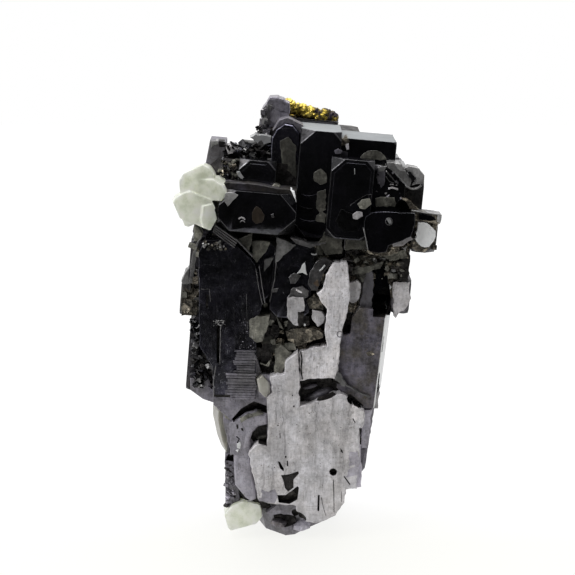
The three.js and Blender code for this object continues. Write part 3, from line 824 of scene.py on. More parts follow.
# Flakes, contact faces and worn facets of the front, each a thin layer: what it is, finish, tone,
# where its front stands, and its outline in x and z.
CROWN_FLAKES = [
    ("arch, contact face", "olive", 0.08, -7, [(-2.5, 51.1), (-1.5, 51.6), (-0.5, 50.5), (-0.5, 46.5),
     (-1.3, 47.2), (-2.3, 47.7)]),
    ("arch, shoulder", "violet", 0.45, -6.4, [(-3.4, 52.3), (-2.6, 53.6), (-1.4, 53.9), (0.4, 53),
     (0.2, 51.6), (-0.8, 53.1), (-2, 53.3), (-3, 52.7)]),
    ("tall crystal, upper contact", "olive", 0.3, -9.14, [(1.7, 47.4), (2.6, 47.9), (3.3, 47.2), (3.3, 46.2),
     (2.5, 45.9), (1.7, 46.4)]),
    ("tall crystal, middle contact", "olive", 0.2, -9.14, [(2.1, 45), (3.2, 45.4), (3.2, 42.8), (2.5, 42.3),
     (2, 43)]),
    ("tall crystal, lower contact", "olive", 0.4, -9.14, [(2, 42), (2.6, 42.7), (3.3, 42.2), (3.1, 41.1),
     (1.9, 41.4)]),
    ("tall crystal, first wave", "black", 1, -9.03, band(arc(1.1, 46.6, 2.1, 240, 300), 0.12)),
    ("tall crystal, second wave", "dusky", 0, -9.02, band(arc(1.2, 45.2, 2.5, 235, 305), 0.5)),
    ("tall crystal, third wave", "black", 1, -9.03, band(arc(1.3, 44.2, 2.9, 238, 300), 0.14)),
    ("broad crystal, contact face", "olive", 0.3, -8.55, arc(9, 48.3, 1.85, 160, 20)),
    ("broad crystal, rough notch", "granular", 1, -8.6, [(4.9, 51.6), (5.7, 51.9), (6.1, 51.2), (5.8, 50.6),
     (5.1, 50.7)]),
    ("broad crystal, notch glint", "etched", 0.6, -8.7, [(5.6, 50.9), (6, 51), (6.05, 50.3), (5.75, 50.2)]),
    ("broad crystal, lilac patch", "violet", 0.5, -9.2, [(4.2, 50.2), (4.7, 50.4), (5.2, 50.1), (5, 49.8),
     (4.3, 49.8)]),
    ("broad crystal, dark end", "violet", 0, -8.6, [(5.1, 50), (5.9, 49.9), (6, 48.9), (5, 48.9)]),
    ("square crystal, scratch", "bright", 0, -11.8, band([(6.6, 48.3), (6.65, 47.6)], 0.1)),
    ("square crystal, long curve", "facet", 0, -11.64, band([(6.1, 43.7), (7, 44.4), (8, 45), (8.7, 45.1)],
     0.05)),
    ("square crystal, olive contact", "olive", 0.9, -11.75, [(7, 43.9), (7.6, 44.5), (8.5, 44.6), (8.7, 43.9),
     (8, 43.3), (7.3, 43.4)]),
    ("square crystal, pale contact", "etched", 0.3, -11.8, [(6.4, 42.6), (6.9, 43), (7.6, 42.9), (7.7, 42.4),
     (7, 42), (6.5, 42.1)]),
    ("square crystal, worn corner", "dusky", 0, -11.68, [(4.3, 41.8), (5, 43.3), (6.2, 42.8), (7.2, 42.2),
     (7.2, 40.6), (5.2, 40.4)]),
    ("swirled crystal, pale column", "violet", 0.1, -11, [(9.4, 48.3), (10.3, 48.4), (10.4, 47.4),
     (10.3, 46.2), (9.9, 45.8), (9.5, 46.4)]),
    ("swirled crystal, column crest", "satin", 0.3, -11.05, [(9.5, 48.4), (10.6, 48.5), (10.2, 47.9),
     (9.6, 47.8)]),
    ("swirled crystal, upper fold", "facet", 0.6, -11.05, band([(10.5, 47.9), (11.2, 47.1), (11.7, 46.5)],
     0.12)),
    ("swirled crystal, middle fold", "facet", 0.3, -11.05, band([(10.5, 47.2), (10.9, 46.6), (11.5, 46.4)],
     0.1)),
    # Painted highlights on the swirled crystal's glassy folds: the two pale lens lines.
    ("swirled crystal, upper lens highlight", "etched", 0.1, -11.05, band([(11, 46.25), (11.9, 46.15)], 0.12)),
    ("swirled crystal, lower lens highlight", "etched", 0.3, -11.05, band([(10.8, 45.7), (11.3, 45.85),
     (12, 45.65)], 0.22)),
    ("swirled crystal, wide stripe", "satin", 0.25, -11.1, [(10.6, 48.9), (12.4, 48.8), (12.9, 47.9),
     (13.7, 46.8), (13.4, 45.8), (12.5, 46.5), (11.6, 47.6), (10.7, 48.3)]),
    ("swirled crystal, right lobe", "satin", 0.75, -11, [(12.7, 48.2), (13.3, 48.5), (14.5, 48.2),
     (15.2, 47.4), (15.1, 46.4), (14.3, 46.3), (13.7, 46.1), (14.2, 47), (13.6, 47.7)]),
    ("swirled crystal, shoulder", "satin", 0.9, -11.18, [(11.5, 48.85), (12.4, 48.75), (12.9, 47.9),
     (12.3, 47.9), (11.8, 48.3)]),
    # Painted highlight along the edge of the wide stripe.
    ("swirled crystal, stripe highlight", "bright", 0, -11.16, band([(11.7, 47.6), (12.6, 46.6), (13.4, 45.8)],
     0.11)),
    # Painted shade: a dark flat layer where the hollow is.
    ("swirled crystal, upper hollow", "dusky", 0.3, -11.22, [(13.05, 47.8), (13.45, 47.9), (13.95, 47.3),
     (14, 46.6), (13.75, 46.4), (13.55, 46.9)]),
    ("swirled crystal, upturned rim", "satin", 0.6, -11.15, band(arc(13.9, 46.9, 1.2, 215, 320), 0.2)),
    ("swirled crystal, grey base", "olive", 0.3, -11.05, [(9.2, 44.5), (10.3, 44.7), (11.6, 44.6),
     (11.9, 43.5), (9.3, 43.4)]),
    # Painted shade: a black flat layer where the hollow is.
    ("swirled crystal, dark hollow", "black", 0, -11.08, [(11.6, 43.4), (12.2, 44.4), (12.8, 44.3),
     (13.5, 43.3)]),
    ("swirled crystal, pale fold", "granular", 1, -11.05, [(12.4, 44.6), (13, 44.5), (14.6, 43.1),
     (13.4, 43.2)]),
    ("arm", "granular", 0.3, -11.4, [(13.6, 43.1), (15.7, 42.8), (17.4, 42.5), (17.2, 41.4), (16, 41.6),
     (13.6, 41.9)]),
    ("arm, dark front", "black", 0.6, -11.5, [(14.5, 42.7), (16.3, 42.35), (16.7, 41.9), (15.9, 41.75),
     (14.6, 42)]),
    ("arm, end facet", "satin", 1, -11.46, [(16.9, 42.5), (17.4, 42.4), (17.2, 41.5), (16.8, 41.7)]),
    ("arm, upper rim", "satin", 0.6, -11.5, band([(13.7, 43.05), (15.7, 42.75), (17.3, 42.5)], 0.16)),
    ("black crystal, left edge", "satin", 0.4, -12.7, band([(7.75, 41), (8, 39.9), (8.3, 38.4)], 0.12)),
    ("gap beside the tall crystal", "bright", 1, -11, [(-1.2, 45.6), (-0.7, 45.3), (-0.5, 44)]),
    ("arm, pale contact", "bright", 0.8, -11.3, [(14.5, 41.6), (15.6, 41.5), (16.7, 40.4), (16.5, 39.3),
     (15.9, 38.5), (14.9, 38.6), (14.2, 39.4), (14.4, 40.6)]),
    ("black crystal, pale ledge", "etched", 0.2, -12.2, [(11.3, 39.1), (12.1, 39.5), (13.4, 40), (13.8, 39.6),
     (12.6, 38.8), (11.4, 38.7)]),
    ("black crystal, rough foot", "granular", 0.7, -11.6, [(8.3, 38.4), (10.4, 38.2), (10.8, 38.9),
     (12.4, 39), (12, 37.8), (10.2, 37.4), (8.4, 37.7)]),
    ("black crystal, mark", "bright", 0, -12.66, [(10.5, 42.3), (10.8, 42.4), (11.1, 42.1), (11.2, 41.7),
     (10.9, 41.6), (10.7, 41.9)]),
    ("left slab, top", "satin", 0.9, -5.45, [(-11.2, 50.95), (-10.3, 50.95), (-10.2, 50.5), (-10.8, 50.4),
     (-11.2, 50)]),
    ("left slab, dark top", "pit", 0.5, -5.45, [(-10.2, 50.9), (-9.4, 50.8), (-9.4, 50.2), (-10.2, 50.2)]),
    ("pale splinter", "etched", 0.5, -6, [(-9.3, 50.4), (-8.5, 50.4), (-7.6, 49.8), (-8.1, 49.4),
     (-9, 49.3)]),
    ("pale sliver", "bright", 0.15, -4.6, [(-6.3, 51.3), (-5.6, 51.7), (-4.8, 51.6), (-3.6, 51.3),
     (-3.6, 50.6), (-5.4, 50.3)]),
    ("summit, purple top", "violet", 0.6, -2.75, [(-3.9, 55.9), (-2.8, 56), (-1.5, 55.3), (-1.5, 54.2),
     (-3, 54.6), (-4.2, 55.1)]),
    ("summit, pale step", "satin", 0.3, -2.8, [(-4.7, 54.6), (-4, 55.3), (-3.5, 55.1), (-3.7, 54.6),
     (-4.3, 54.2)]),
    ("summit, lower pale step", "satin", 0.2, -2.8, [(-4.9, 53.8), (-4.2, 54.3), (-4.1, 53.8), (-4.7, 53.3)]),
    ("ledge", "mottled", 0.1, -8.6, [(-10.4, 46), (-9.2, 46.4), (-7.4, 46.3), (-6, 45.8), (-3, 45.4),
     (-3, 44.9), (-7.5, 45.1), (-9.2, 45.5)]),
    ("small crystal, bright corner", "bright", 0.2, -8.4, [(-7.9, 47.4), (-7.5, 47.5), (-7, 46.7),
     (-7.2, 46.5), (-7.7, 46.9)]),
    ("olive spot", "olive", 0.9, -9, [(-3.7, 45.6), (-3.2, 46), (-2.5, 45.7), (-2.9, 45.2), (-3.6, 45.2)]),
    ("wide crystal, left facet", "satin", 0.7, -11.52, [(-9.2, 45.2), (-8.4, 45.3), (-7.6, 45), (-8.3, 44.3),
     (-8.9, 43.6), (-9.3, 44.2)]),
    ("wide crystal, contact face", "rusty", 0, -11.5, [(-5.9, 42.8), (-5.4, 43.6), (-4.8, 43.2), (-4.4, 42.5),
     (-4.7, 41.6), (-5.5, 41.4), (-5.9, 41.9)]),
    ("wide crystal, first crescent", "etched", 0.2, -11.6, band(arc(-7.2, 41.8, 0.42, 20, 150), 0.16)),
    ("wide crystal, second crescent", "etched", 0, -11.6, band(arc(-7.1, 41.6, 0.25, 0, 170), 0.12)),
    ("wide crystal, blue glint", "facet", 0.8, -11.6, [(-3.6, 42.6), (-3.3, 42.7), (-3.2, 42.2),
     (-3.5, 42.2)]),
]

MIDDLE_FLAKES = [
    ("facet under the tall crystal", "olive", 0.1, -9.9, [(2.2, 38.7), (3.3, 40.4), (4.6, 40.7), (5.3, 39.4),
     (5.2, 37.4), (3.2, 37.2)]),
    ("round facet", "olive", 0.25, -9.8, [(5.6, 37.8)] + arc(6.9, 39.2, 1.5, 150, 20) + [(8.3, 38)]),
    ("round facet, edge", "facet", 0.7, -9.9, band([(5.5, 40.6), (5.6, 39.3), (5.5, 37.9)], 0.08)),
    ("ridge end", "facet", 0.9, -11, [(-1.2, 39.6), (1.8, 38.7), (3.2, 38.9), (1.2, 38.3), (-0.6, 38.9)]),
    ("first ridge facet", "olive", 0.5, -9.8, [(-7.7, 39.3), (-5.9, 40.1), (-6, 39.1), (-6.4, 37.6),
     (-7.5, 38.5)]),
    ("second ridge facet", "olive", 0.4, -9.6, [(-6, 38.9), (-5.2, 39), (-3.7, 38.8), (-4.6, 37.2),
     (-5.4, 36.1), (-5.9, 36.8)]),
    ("third ridge facet", "satin", 0.1, -9.6, [(-4.5, 36.5), (-3.3, 36.8), (-3.8, 35.8), (-4.5, 35)]),
    ("left pillar, corner facet", "satin", 0.3, -10, [(-2.9, 39.5), (-0.5, 38.5), (-3.1, 36.2)]),
    ("first pale line", "facet", 0.9, -10.5, band([(-5.1, 35.9), (-4.8, 33.6), (-4.4, 31.2)], 0.09)),
    ("second pale line", "facet", 0.6, -10.5, band([(-5.5, 35.6), (-5.2, 33.4), (-4.7, 31)], 0.07)),
    ("left pillar, edge", "facet", 0.9, -10, band([(-3, 36.3), (-3.2, 34), (-3.8, 31.2)], 0.12)),
    ("left pillar, glint", "facet", 0.9, -9.9, [(-3.6, 32.8), (-2.7, 33), (-2.9, 32.5), (-3.6, 32.4)]),
    ("white triangle", "bright", 0.35, -10.1, [(-0.4, 34.9), (0.6, 36.3), (0.9, 34.7), (0.3, 35)]),
    ("grey triangle", "facet", 1, -10.05, [(-1.4, 34.4), (-0.7, 35), (0.1, 34.6), (-0.6, 33.6),
     (-1.2, 33.6)]),
    ("curved facet", "facet", 0.5, -10.2, [(1, 33.5), (1.3, 35.2), (2.1, 36.5), (3.2, 36.9), (4.2, 36.4),
     (3.2, 35.4), (2.5, 33.9), (2.2, 32.8), (1.4, 32.8)]),
    ("curved facet, rusty spot", "rusty", 0.5, -10.26, [(1.5, 33.6), (2.2, 34.2), (2.4, 33.4), (1.9, 33)]),
    ("curved facet, glint", "bright", 0.3, -10.3, band([(2.4, 35.3), (2.7, 35.5), (3.1, 36)], 0.18)),
    ("curved facet, upper glint", "bright", 0.1, -10.2, band([(1.4, 37.4), (1.8, 37.3), (2.1, 37.4)], 0.16)),
    ("grey dome", "facet", 0.7, -10.25, [(-1.5, 32), (-0.9, 33.1), (0.3, 33.3), (1.1, 32.7), (1, 32),
     (0.3, 31.6)]),
    ("grey dome, glint", "etched", 0.7, -10.3, band([(-0.5, 32.9), (0.2, 32.5)], 0.2)),
    ("narrow plate", "etched", 0.35, -10.5, [(-1.6, 31.8), (-0.9, 32), (0.4, 31.9), (0.6, 30.8), (0.5, 30.2),
     (-0.3, 30.1), (-0.2, 28.3), (-0.9, 28.5), (-1.6, 29.4)]),
    ("narrow plate, notch", "pit", 0.4, -10.4, [(-0.3, 30.2), (0.5, 29.8), (0.4, 28.7), (-0.2, 28.7)]),
    ("white bead", "bright", 0.3, -10.6, arc(0.6, 28.4, 0.13, 0, 330, 7)),
    ("speckled flake", "etched", 0.3, -10.3, [(1.5, 30.3), (2.7, 30), (3.1, 29.3), (2.9, 28.6), (2.2, 28.1),
     (1.5, 29.1)]),
    ("first dark grain zone", "granular", 0.2, -10.1, [(0.8, 31.4), (1.8, 32.2), (3, 31), (2.9, 30.2),
     (1.2, 30.4)]),
    ("olive face", "olive", 0.55, -10.46, [(-6.4, 29), (-5.4, 29.6), (-3.8, 29.5), (-4.1, 28), (-4.7, 26.3),
     (-5.4, 26.1), (-6.4, 26.9)]),
    ("olive blade", "olive", 0.3, -10, [(-3.1, 29.8), (-2.6, 28), (-2, 27.6), (-2.5, 28.6)]),
    ("lower olive face", "olive", 0.45, -10.1, [(-3.15, 25.2), (-2.35, 25.7), (-1, 24.7), (-1.5, 23.7),
     (-2.1, 22.5), (-2.3, 21.5), (-3.2, 21.9)]),
    ("right olive face", "granular", 0.6, -10.1, [(-1.8, 27.5), (0.3, 28), (2.9, 27.2), (2.9, 26.7),
     (0.4, 25.9), (-0.5, 25.6), (-1.5, 26.3)]),
    ("right olive face, upper", "granular", 0.8, -10.15, [(0.4, 27.4), (1.6, 28), (2.8, 27.3), (2.2, 26.9),
     (1, 26.8)]),
    ("pale column", "etched", 0.3, -9.6, [(6.2, 33.6), (7.2, 33.9), (7.6, 33.5), (7.4, 31.6), (6.6, 31),
     (6.2, 31.2)]),
    ("dark column", "pit", 0.6, -9.3, [(7.7, 34.8), (8.4, 34.7), (8.3, 32.9), (7.5, 31.8), (7.4, 32.6)]),
    ("grey column", "violet", 0.2, -9.4, [(8.4, 35.4), (8.8, 35.4), (9.1, 32.7), (9.2, 31), (8.9, 29.2),
     (7.8, 29.2), (7.5, 31)]),
    ("small pale column", "etched", 0.1, -9.4, [(7.4, 30.6), (7.9, 30.5), (7.6, 29.6), (7.1, 28.7),
     (6.6, 29)]),
    ("pink flake", "etched", 0.5, -8.8, [(11.7, 33.5), (13.8, 33.5), (13.7, 32.4), (14, 31.5), (13.5, 30.4),
     (13.1, 29.9), (12.7, 29.8), (12.1, 28.9), (11.8, 29.2)]),
    ("white streak", "bright", 0.4, -8.9, [(11.2, 33.3), (11.5, 32.9), (11.1, 32.1)]),
    ("black block", "pit", 0.2, -9, [(12.6, 36.6), (13.8, 37), (13.6, 33.8), (12.3, 33.8)]),
    ("black column", "black", 0.3, -9.35, [(9.2, 29.4), (11.3, 29.4), (11.4, 31.9), (11, 33.9), (10.6, 35.6),
     (9.8, 36.1), (9.4, 33.3), (9, 31.3)]),
    ("lilac column", "lilac", 0, -9.45, [(8.2, 30), (8.9, 29.8), (9.2, 33), (9, 35.6), (8.6, 35.4),
     (8.5, 33)]),
    ("brown shelf", "olive", 0.3, -9.5, [(6.4, 35.2), (9, 35.8), (10.4, 36.4), (10, 35.4), (8.2, 34.8),
     (6.6, 34.6)]),
    ("olive shelf", "olive", 0.6, -9.4, [(10.6, 37.4), (13, 37.8), (13.4, 36.8), (11.6, 36.4), (10.6, 36.7)]),
]

LEFT_FLAKES = [
    ("left edge, shard", "olive", 0.9, -7.9, [(-13.2, 41.1), (-12.6, 40.2), (-12.2, 39.5), (-12.6, 38.6),
     (-13.3, 38.6)]),
    ("left edge, band", "satin", 0.3, -8.2, [(-12.2, 39.3), (-12.8, 38.1), (-13.1, 36), (-13.5, 33.3),
     (-13.9, 33.3), (-13.7, 36), (-13, 38.4)]),
    ("left edge, pale facet", "satin", 0.4, -7.6, [(-15, 33.4), (-14.4, 34.6), (-13.7, 35.8), (-13.5, 34.8),
     (-13.8, 33.1), (-14.8, 33)]),
    ("left edge, brown block", "granular", 0.5, -7, [(-14.9, 32.9), (-13.7, 33.1), (-13.1, 32.2),
     (-13.1, 28.8), (-15.1, 28.8)]),
    ("tall face, fine line", "facet", 0.4, -10.5, band([(-6.7, 32.4), (-6.6, 27.8)], 0.06)),
    ("tall face, small corner", "facet", 0.4, -10.5, band([(-12.3, 33), (-11.3, 33), (-11.2, 31.4)], 0.06)),
    ("tall face, groove edge", "facet", 0.9, -10.5, band([(-9.95, 28.2), (-10.1, 23.3)], 0.09)),
    ("tall face, lower edge", "facet", 1, -10.55, band([(-10.6, 23.1), (-10.9, 21.2), (-10.9, 19.2)], 0.1)),
]

LOWER_FLAKES = [
    ("chip's bed", "violet", 0.9, -10.3, [(-5.5, 21.2), (-4.8, 21.9), (-3.4, 21.6), (-3.1, 19.4),
     (-3.9, 18.9), (-5.2, 18.8)]),
    ("arch, left face", "lilac", 0.35, -10.36, [(-8.9, 15.6), (-7.6, 16), (-6.9, 14.6), (-7.2, 12.6),
     (-7.6, 11.4), (-8.9, 11.3)]),
    ("arch, brown band", "olive", 0.7, -10.4, [(-7.6, 16.2), (-6.6, 16.75), (-5.4, 17), (-4.6, 16.8),
     (-5.6, 16.5), (-6.6, 16.2), (-7.5, 15.6)]),
    # Painted shade: the pits of the arch are dark flat layers, not holes.
    ("arch, first pit", "pit", 0, -10.42, [(-8.1, 15.4), (-7.85, 15.4), (-7.8, 14.9), (-8, 14.8)]),
    ("arch, second pit", "pit", 0, -10.42, [(-7.5, 14.9), (-7.25, 14.9), (-7.15, 14.5), (-7.4, 14.6)]),
    ("arch, zigzag pit", "black", 0.5, -10.42, band([(-8.1, 13.8), (-7.7, 13.5), (-7.95, 13), (-7.6, 12.7)],
     0.14)),
    ("arch, bright pits", "bright", 0.4, -10.45, [(-8, 12.9), (-7.6, 13.1), (-7.5, 12.7), (-7.6, 12.2),
     (-8, 12.3)]),
    ("arch, lower glint", "bright", 0.5, -10.45, [(-8.2, 12), (-7.8, 12.1), (-7.9, 11.7)]),
    ("sliver bed", "olive", 0.9, -9.5, [(-10.1, 17.3), (-9.2, 17.4), (-8.7, 16.5), (-8.9, 15.7), (-9.5, 16)]),
    ("plate, left part", "etched", 0.3, -11.04, [(-3.8, 21.8), (-2.2, 22), (-1.9, 19), (-2, 14), (-1.9, 11.2),
     (-2.4, 9.8), (-4.8, 12.8), (-4.1, 13), (-3.9, 15), (-4.1, 19), (-3.5, 19.7)]),
    ("side plate, first dash", "pit", 0.3, -9.2, band([(10.55, 26.6), (10.35, 24.6)], 0.14)),
    ("side plate, second dash", "pit", 0.3, -8.8, band([(10.1, 21.6), (9.9, 19.6)], 0.16)),
    ("side plate, pale rust", "granular", 1, -10.36, [(8.3, 24.75), (9, 24.95), (9.4, 24.6), (8.9, 24.35),
     (8.5, 24.4)]),
    ("side plate, worn foot", "satin", 0.15, -10.6, [(4.7, 22.4), (5.2, 22.1), (5.4, 21.4), (5.9, 20.8),
     (5.6, 20.4), (4.3, 20.8)]),
    ("side plate, worn edge", "satin", 0.1, -10.5, band([(5.7, 20.6), (6.6, 20.15), (7.6, 19.5), (8.9, 19)],
     0.16)),
    ("side plate, loose foot", "etched", 0.3, -8.4, [(9.2, 19.6), (10.2, 19.9), (10.15, 18.6), (10.05, 16.9),
     (9.4, 16.9), (9.1, 18)]),
    ("side plate, dark edge", "pit", 0.3, -8.5, band([(10.15, 19.8), (9.8, 18.9), (9.6, 17.9)], 0.12)),
    ("white flake", "etched", 0.55, -11.08, [(6.55, 18.05), (7.05, 18.2), (7.55, 17.65), (8.1, 17.4),
     (8.1, 16.2), (7.7, 15.65), (7.2, 16.2), (6.7, 15.65), (6.4, 16), (6.55, 17)]),
    ("grey notch", "violet", 0.9, -11.05, [(6.45, 15.5), (7.7, 15.5), (7.6, 14.8), (6.5, 14.8)]),
    ("right ledge, face", "lilac", 0.6, -11.03, [(6.35, 12), (7.37, 12), (7.6, 10.7), (7.5, 8.5), (7.2, 7.1),
     (5.95, 7.1), (5.7, 8.2), (6.1, 9), (6.35, 10.7)]),
    ("right ledge", "lilac", 0.9, -10, [(7.3, 14.6), (7.8, 14.6), (7.9, 6.9), (6, 6.9), (6.1, 8.1),
     (7.3, 9.2)]),
    ("right ledge, upper", "lilac", 0.75, -9, [(7.9, 16.9), (9.2, 17), (8.8, 11.8), (8, 11.8)]),
    ("right ledge, lower", "violet", 0.3, -8.7, [(7.9, 11.6), (8.5, 11.6), (8, 9.2), (7.9, 9.2)]),
    ("plate, worn left foot", "lilac", 0.4, -11.05, [(-5.5, 6.4), (-4.8, 6.9), (-4, 6.6), (-3.2, 7),
     (-2.9, 6.3), (-3.2, 5.1), (-5.2, 5.4)]),
    ("bowl wall", "violet", 0.6, -10.2, [(-4.4, 3.4), (-2.6, 4.9), (-0.6, 4.5), (0.6, 3.2), (-0.5, 3),
     (-1.9, 3.6), (-3.4, 3.1)]),
    ("first lower facet", "granular", 0.9, -10.8, [(0, 4.4), (0.9, 4.9), (1.6, 3.9), (1, 3.3), (0.3, 3.6)]),
    ("second lower facet", "violet", 0.8, -10.9, [(0.7, 3.1), (1.5, 3.7), (2.6, 3.2), (2, 2.5), (1.2, 2.4)]),
]

# Openings in the front, cut straight back: name, where they start, depth and outline. Their cutters
# reach a little further out.
SLIT_REACH = 1
SLITS = [
    ("arch crack", -10.4, 2, [(-8.7, 15.9), (-7.5, 17.3), (-5.85, 18.3), (-4.2, 17.7), (-4.2, 16.75),
     (-5.6, 17.1), (-6.9, 16.75), (-8.4, 15.7)]),
    ("notch under the arch", -10.6, 1.6, [(-6.3, 13.3), (-6.05, 14.2), (-5.3, 15), (-4.2, 15.2), (-4.2, 12.8),
     (-5.3, 13.1), (-5.9, 12.8)]),
    ("left notch", -10, 2, [(-9.6, 10.2), (-9.2, 11), (-8.5, 11), (-8.5, 10)]),
    ("slot", -11, 1.2, [(-10.9, 19.35), (-8.8, 19.35), (-8.8, 18.65), (-10.9, 18.65)]),
    ("groove", -11, 2, [(-10.45, 28.3), (-10.05, 28.4), (-10.15, 23.5), (-10.5, 23.5)]),
    ("tall face slit", -11, 0.8, [(-11.7, 32.3), (-11.4, 32.3), (-11.5, 30.6), (-11.8, 30.6)]),
    ("plate crack", -11, 1, band([(0.1, 25), (0.25, 24), (0.15, 22.6), (0.3, 21.3)], 0.16)),
    ("first pit slit", -11.6, 1.2, [(-2.8, 10.8), (-2.5, 10.7), (-2, 9.7), (-2.1, 9.4), (-2.5, 9.8)]),
    ("star pit", -11.6, 0.7, [(-2.4, 8.9), (-1.4, 9), (-0.2, 9.4), (-0.1, 9.1), (-0.8, 8.3), (-0.8, 7.2),
     (-1.5, 6.7), (-1.9, 7.2), (-2.1, 8.2)]),
    ("lower pit", -11.6, 1.6, [(-2.9, 6.2), (-1.8, 6.2), (-0.3, 7.4), (-0.1, 7.2), (-0.3, 5.6), (-1.3, 5),
     (-2.7, 5.2)]),
    ("round pit", -11.6, 1.4, arc(4.25, 9.3, 0.5, 0, 330, 11)),
    ("first slit", -11.6, 1.5, [(2.3, 6.2), (2.55, 6.2), (2.5, 4), (2.25, 4.1)]),
    ("second slit", -11.6, 0.8, band([(4.3, 8.3), (4.35, 6.4), (4.4, 3.9)], 0.1)),
    ("slanting slit", -11.6, 0.8, band([(2.75, 5.9), (3, 4.6), (3.35, 3.4)], 0.07)),
    ("edge slit", -11.6, 0.8, band([(5.3, 6.7), (5.35, 5.3)], 0.07)),
    ("third slit", -11.6, 0.8, [(5.1, 12.5), (5.4, 12.2), (5.5, 11.8), (5.2, 12)]),
    ("short slit", -11.6, 0.6, band([(3.2, 4.6), (3.5, 3.5)], 0.12)),
    ("torn edge", -10.8, 1.6, [(5.9, 19.1), (6.4, 19.3), (7, 18.8), (7.5, 18.35), (8.1, 17.8), (7.7, 17.6),
     (6.9, 18.1), (6.4, 18.2), (6, 18.6)]),
    ("right slit", -10.8, 1.6, [(7.5, 15.1), (7.8, 15.1), (7.95, 13.5), (7.95, 12.6), (7.6, 12.7),
     (7.6, 13.6)]),
    ("ledge pits", -11.6, 0.8, band([(5.65, 8.7), (6, 8.2), (6.4, 7.6)], 0.16)),
    ("flake slit", -11.6, 0.7, band([(6.7, 16.4), (7, 15.8)], 0.12)),
    ("plate dash", -11.6, 0.7, band([(-2.52, 14.5), (-2.5, 13.8)], 0.1)),
    ("second pit slit", -11.6, 0.8, band([(-1.6, 10.8), (-1.55, 10.1)], 0.16)),
    ("slanting dash", -11.6, 0.5, band([(-0.6, 12), (-0.2, 11.7)], 0.07)),
    ("right recess", -11, 5, [(9.2, 32.2), (11.2, 33.4), (11.5, 31.2), (10.9, 29.4), (9.1, 29.4)]),
    ("first olive hole", -11, 1.5, [(-4, 27.4), (-3.2, 28.2), (-2.9, 29.2), (-2.7, 28), (-1.9, 27.6),
     (-2, 27), (-3, 26.3)]),
    ("second olive hole", -11, 1.6, [(-5.2, 24.6), (-4.6, 25.8), (-3.5, 25.7), (-3.3, 24.3), (-4.3, 23.1),
     (-5.1, 23.4)]),
]

# Small holes of the lower plate: x, z and radius.
HOLES = [(-1.8, 11.3, 0.13), (-0.75, 18, 0.12), (-0.94, 19.4, 0.08), (-2.77, 15.5, 0.1), (-2.64, 19.9, 0.06),
    (-0.38, 15.6, 0.06), (0, 14.7, 0.05), (3.1, 13.4, 0.05), (1.2, 17.1, 0.06), (2.6, 10.4, 0.05),
    (-3.2, 9.9, 0.07), (5.2, 15.2, 0.06)]
HOLE_START = -11.6
HOLE_DEPTH = 1.1

# The pocket under the upper plate and the broken bowl at the foot: x, y, z and radius of a ball,
# how many times as wide and as tall it is, and its turn.
HOLLOWS = [
    (2.5, -11, 20.1, 2.3, 1.2, 0.6, -10),
    (-2.2, -10, 2.3, 1.7, 1.25, 0.62, 4),
    (-0.1, -10.6, 3.3, 0.9, 1.3, 0.7, 30),
]

# Rounded forms that stand in the hollows, measured in the same way, with finish, tone and roundness.
KNOBS = [
    (2.4, -8.9, 19, 1, 2, 0.62, -22, "violet", 0.1),
    (1.3, -9.3, 20.1, 0.5, 1.9, 0.5, -14, "violet", 0.3),
    (0.3, -9.2, 1.45, 1.3, 1.05, 0.6, -12, "lilac", 0.6, 1),
    (-2.7, -8.7, 1.6, 1.1, 1.1, 0.6, 10, "mottled", 0.7, 1),
    (-1.6, -8.9, 4.3, 1.2, 1.5, 0.5, -8, "violet", 0.8, 1),
    (-4.8, -8.8, 13.3, 0.6, 1.4, 0.7, -10, "olive", 0.3),
    (1.2, -9.3, 3.2, 0.7, 1.2, 0.8, 35, "violet", 0.6, 1),
]

# Crystals on the sides, the back and the top: seed, number, two corners of the box that holds their
# middles, least and most size, finishes, and the way they face.
LOW_LOOKS = ("violet", "lilac", "mottled")
FLANKS = [
    (41, 4, (-10.4, -2, 41.5), (-9.8, 7, 45), 4, 6, ("mirror", "violet", "veiled"), LEFT),
    (42, 9, (-10.8, -3.5, 22.5), (-10, 6.5, 38), 3.6, 6, ("mirror", "violet", "mottled", "veiled"), LEFT),
    (43, 5, (-7.4, -4, 7), (-6.8, 4.5, 17), 3.5, 5, ("violet", "lilac", "violet"), LEFT),
    (44, 5, (10.6, -3, 40), (11.4, 6.5, 45.5), 4, 6, ("mirror", "veiled", "violet"), RIGHT),
    (45, 5, (9.4, -3, 29.5), (10.4, 6.5, 36), 3.6, 5.4, ("mirror", "violet", "granular"), RIGHT),
    (46, 5, (6.6, 3, 9), (7.4, 6, 25), 3.6, 5, LOW_LOOKS, RIGHT),
    (47, 9, (-9, 8, 22), (9, 9, 46), 3, 5, ("mirror", "veiled", "violet", "facet"), BACK),
    (48, 5, (-5, 5.5, 6), (4, 6.4, 20), 2.6, 4.4, LOW_LOOKS, BACK),
    (49, 4, (-2.6, 2.5, 49), (7, 6.5, 50.4), 3, 4.6, ("mirror", "veiled", "violet"), TOP),
]

